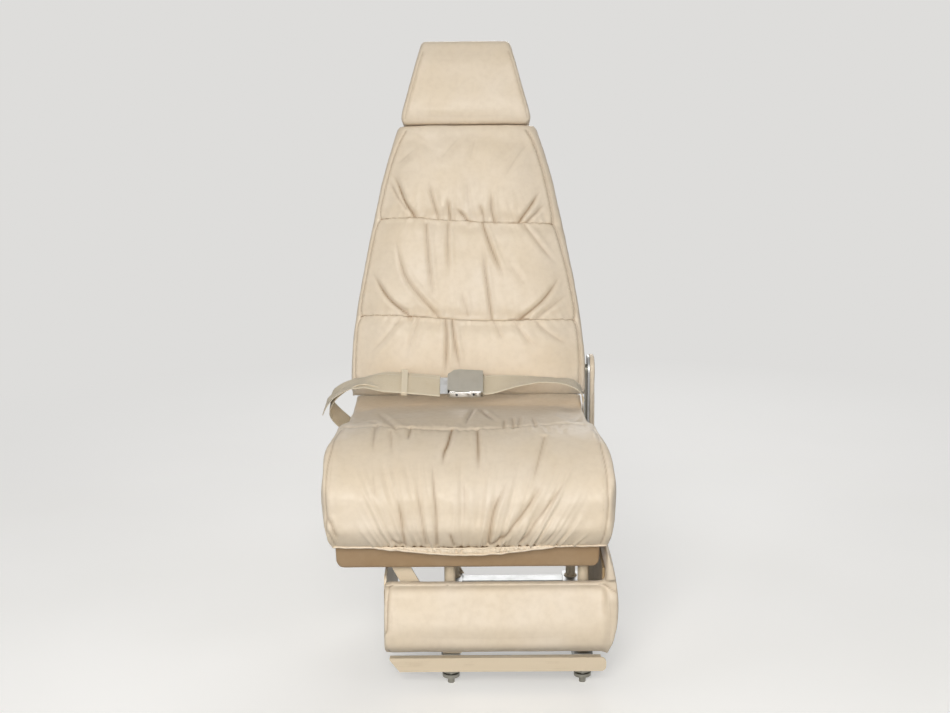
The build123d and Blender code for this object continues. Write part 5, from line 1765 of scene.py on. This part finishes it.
@dataclass
class Studio:
    """The pale floor, the lamps and the camera."""

    camera_place: Point = (-56.5, -2617.8, 1105.7)
    yaw: float = 0.273
    pitch: float = 12.154
    roll: float = -0.472
    lens: float = 56.84
    pale: str = "E9E8E6"
    backdrop: str = "E3E2E0"
    backdrop_level: float = 0.95

    def camera(self) -> None:
        """Stand the camera where the photograph was taken from."""
        yaw, pitch, roll = (math.radians(a) for a in (self.yaw, self.pitch, self.roll))
        ahead = Vector((-math.sin(yaw) * math.cos(pitch), math.cos(yaw) * math.cos(pitch), -math.sin(pitch)))
        right = Vector((math.cos(yaw), math.sin(yaw), 0))
        up = right.cross(ahead)
        across = right * math.cos(roll) + up * math.sin(roll)
        upward = up * math.cos(roll) - right * math.sin(roll)
        turned = Matrix((across, upward, -ahead)).transposed().to_4x4()
        data = bpy.data.cameras.new("photograph")
        data.lens, data.sensor_width = self.lens, 36.0
        cam = bpy.data.objects.new("photograph", data)
        bpy.context.scene.collection.objects.link(cam)
        cam.matrix_world = Matrix.Translation(Vector(self.camera_place) * MM) @ turned
        bpy.context.scene.camera = cam

    def lamp(self, name: str, place: Point, target: Point, size: float, watts: float, tint: str) -> None:
        """Hang a square soft lamp.

        Args:
            name: Its name.
            place: Where it hangs, in millimetres.
            target: What it points at.
            size: Its side, in metres.
            watts: Its power.
            tint: Its colour.
        """
        data = bpy.data.lights.new(name, "AREA")
        data.shape, data.size, data.energy = "SQUARE", size, watts
        data.color = linear(tint)[:3]
        lamp = bpy.data.objects.new(name, data)
        bpy.context.scene.collection.objects.link(lamp)
        lamp.location = Vector(place) * MM
        way = Vector(target) - Vector(place)
        lamp.rotation_euler = way.to_track_quat("-Z", "Y").to_euler()

    def floor(self) -> None:
        """Lay the plain floor, which keeps the seat's shadow."""
        deselect()
        bpy.ops.mesh.primitive_plane_add(size=40, location=(0, 0, 0))
        floor = bpy.context.object
        floor.name = "studio_floor"
        material, tree, out = new_material("pale_floor")
        # Painted studio floor that fades into the backdrop, and is dark to bounced light.
        place = add_node(tree, "TexCoord").outputs["Object"]
        cloud = add_node(tree, "TexNoise", {"Vector": place, "Scale": 2.0})
        body = mixed(tree, ramp(tree, cloud.outputs["Fac"], 0.3, 0.7), linear(self.pale), linear("E4E3E0"))
        path = add_node(tree, "LightPath")
        seen = calc(tree, "SUBTRACT", 1.0, path.outputs["Is Diffuse Ray"])
        matt = add_node(tree, "BsdfDiffuse", {"Color": mixed(tree, seen, linear("6E6D6B"), body)})
        glow = add_node(tree, "Emission", {"Color": linear(self.pale), "Strength": 0.42})
        dark = add_node(tree, "Emission", {"Color": linear("000000"), "Strength": 0.0})
        lit = add_node(tree, "AddShader", {0: matt.outputs[0], 1: glow.outputs[0]})
        near = add_node(tree, "MixShader", {0: seen, 1: matt.outputs[0], 2: lit.outputs[0]})
        pale = {"Color": linear(self.backdrop), "Strength": self.backdrop_level}
        backdrop = add_node(tree, "Emission", pale)
        far = add_node(tree, "MixShader", {0: seen, 1: dark.outputs[0], 2: backdrop.outputs[0]})
        reach = add_node(tree, "VectorMath", {0: place}, operation="LENGTH")
        fade = ramp(tree, reach.outputs["Value"], 0.8, 2.5)
        both = add_node(tree, "MixShader", {0: fade, 1: near.outputs[0], 2: far.outputs[0]})
        tree.links.new(both.outputs[0], out.inputs[0])
        floor.data.materials.append(material)

    def world(self) -> None:
        """Fill the surroundings with even light and a pale backdrop."""
        world = bpy.data.worlds.new("studio")
        bpy.context.scene.world = world
        world.use_nodes = True
        tree = world.node_tree
        tree.nodes.clear()
        path = add_node(tree, "LightPath")
        seen = path.outputs["Is Camera Ray"]
        for kind in ("Is Glossy Ray", "Is Transmission Ray"):
            seen = calc(tree, "MAXIMUM", seen, path.outputs[kind])
        fill = add_node(tree, "Background", {"Color": linear("F4F6FA"), "Strength": 0.13})
        back = add_node(tree, "Background", {"Color": linear(self.backdrop), "Strength": self.backdrop_level})
        both = add_node(tree, "MixShader", {0: seen, 1: fill.outputs[0], 2: back.outputs[0]})
        out = add_node(tree, "OutputWorld", {0: both.outputs[0]})
        out.is_active_output = True

    def build(self) -> None:
        """Set the studio up."""
        self.camera()
        self.floor()
        self.world()
        self.lamp("key", (-450, -3250, 1720), (-83, 0, 500), 1.5, 76, "FFFCF7")
        self.lamp("low", (100, -3400, 800), (-83, 0, 300), 1.8, 14, "FFFCF7")
        self.lamp("fill", (2600, -2100, 1500), (-83, 0, 550), 1.8, 15, "FFFFFF")
        self.lamp("side", (-2700, -900, 1500), (-83, 0, 500), 1.8, 11, "FFFFFF")
        self.lamp("rear", (300, 2700, 2100), (-83, 200, 600), 1.8, 34, "FFFFFF")
        bpy.context.scene.view_settings.view_transform = "Standard"


def main() -> None:
    """Build the seat's looks in order."""
    logging.basicConfig(level=logging.INFO, format="%(name)s: %(message)s")
    Studio().build()
    HardParts().build()
    SeatPad().build()
    BackPad().build()
    HeadrestPad().build()
    for pad in plain_pads():
        pad.build()
    LapBelt().build()
    WeldsAndFixings().build()
    BuckleEdge().build()
    deselect()


if __name__ == "__main__":
    main()
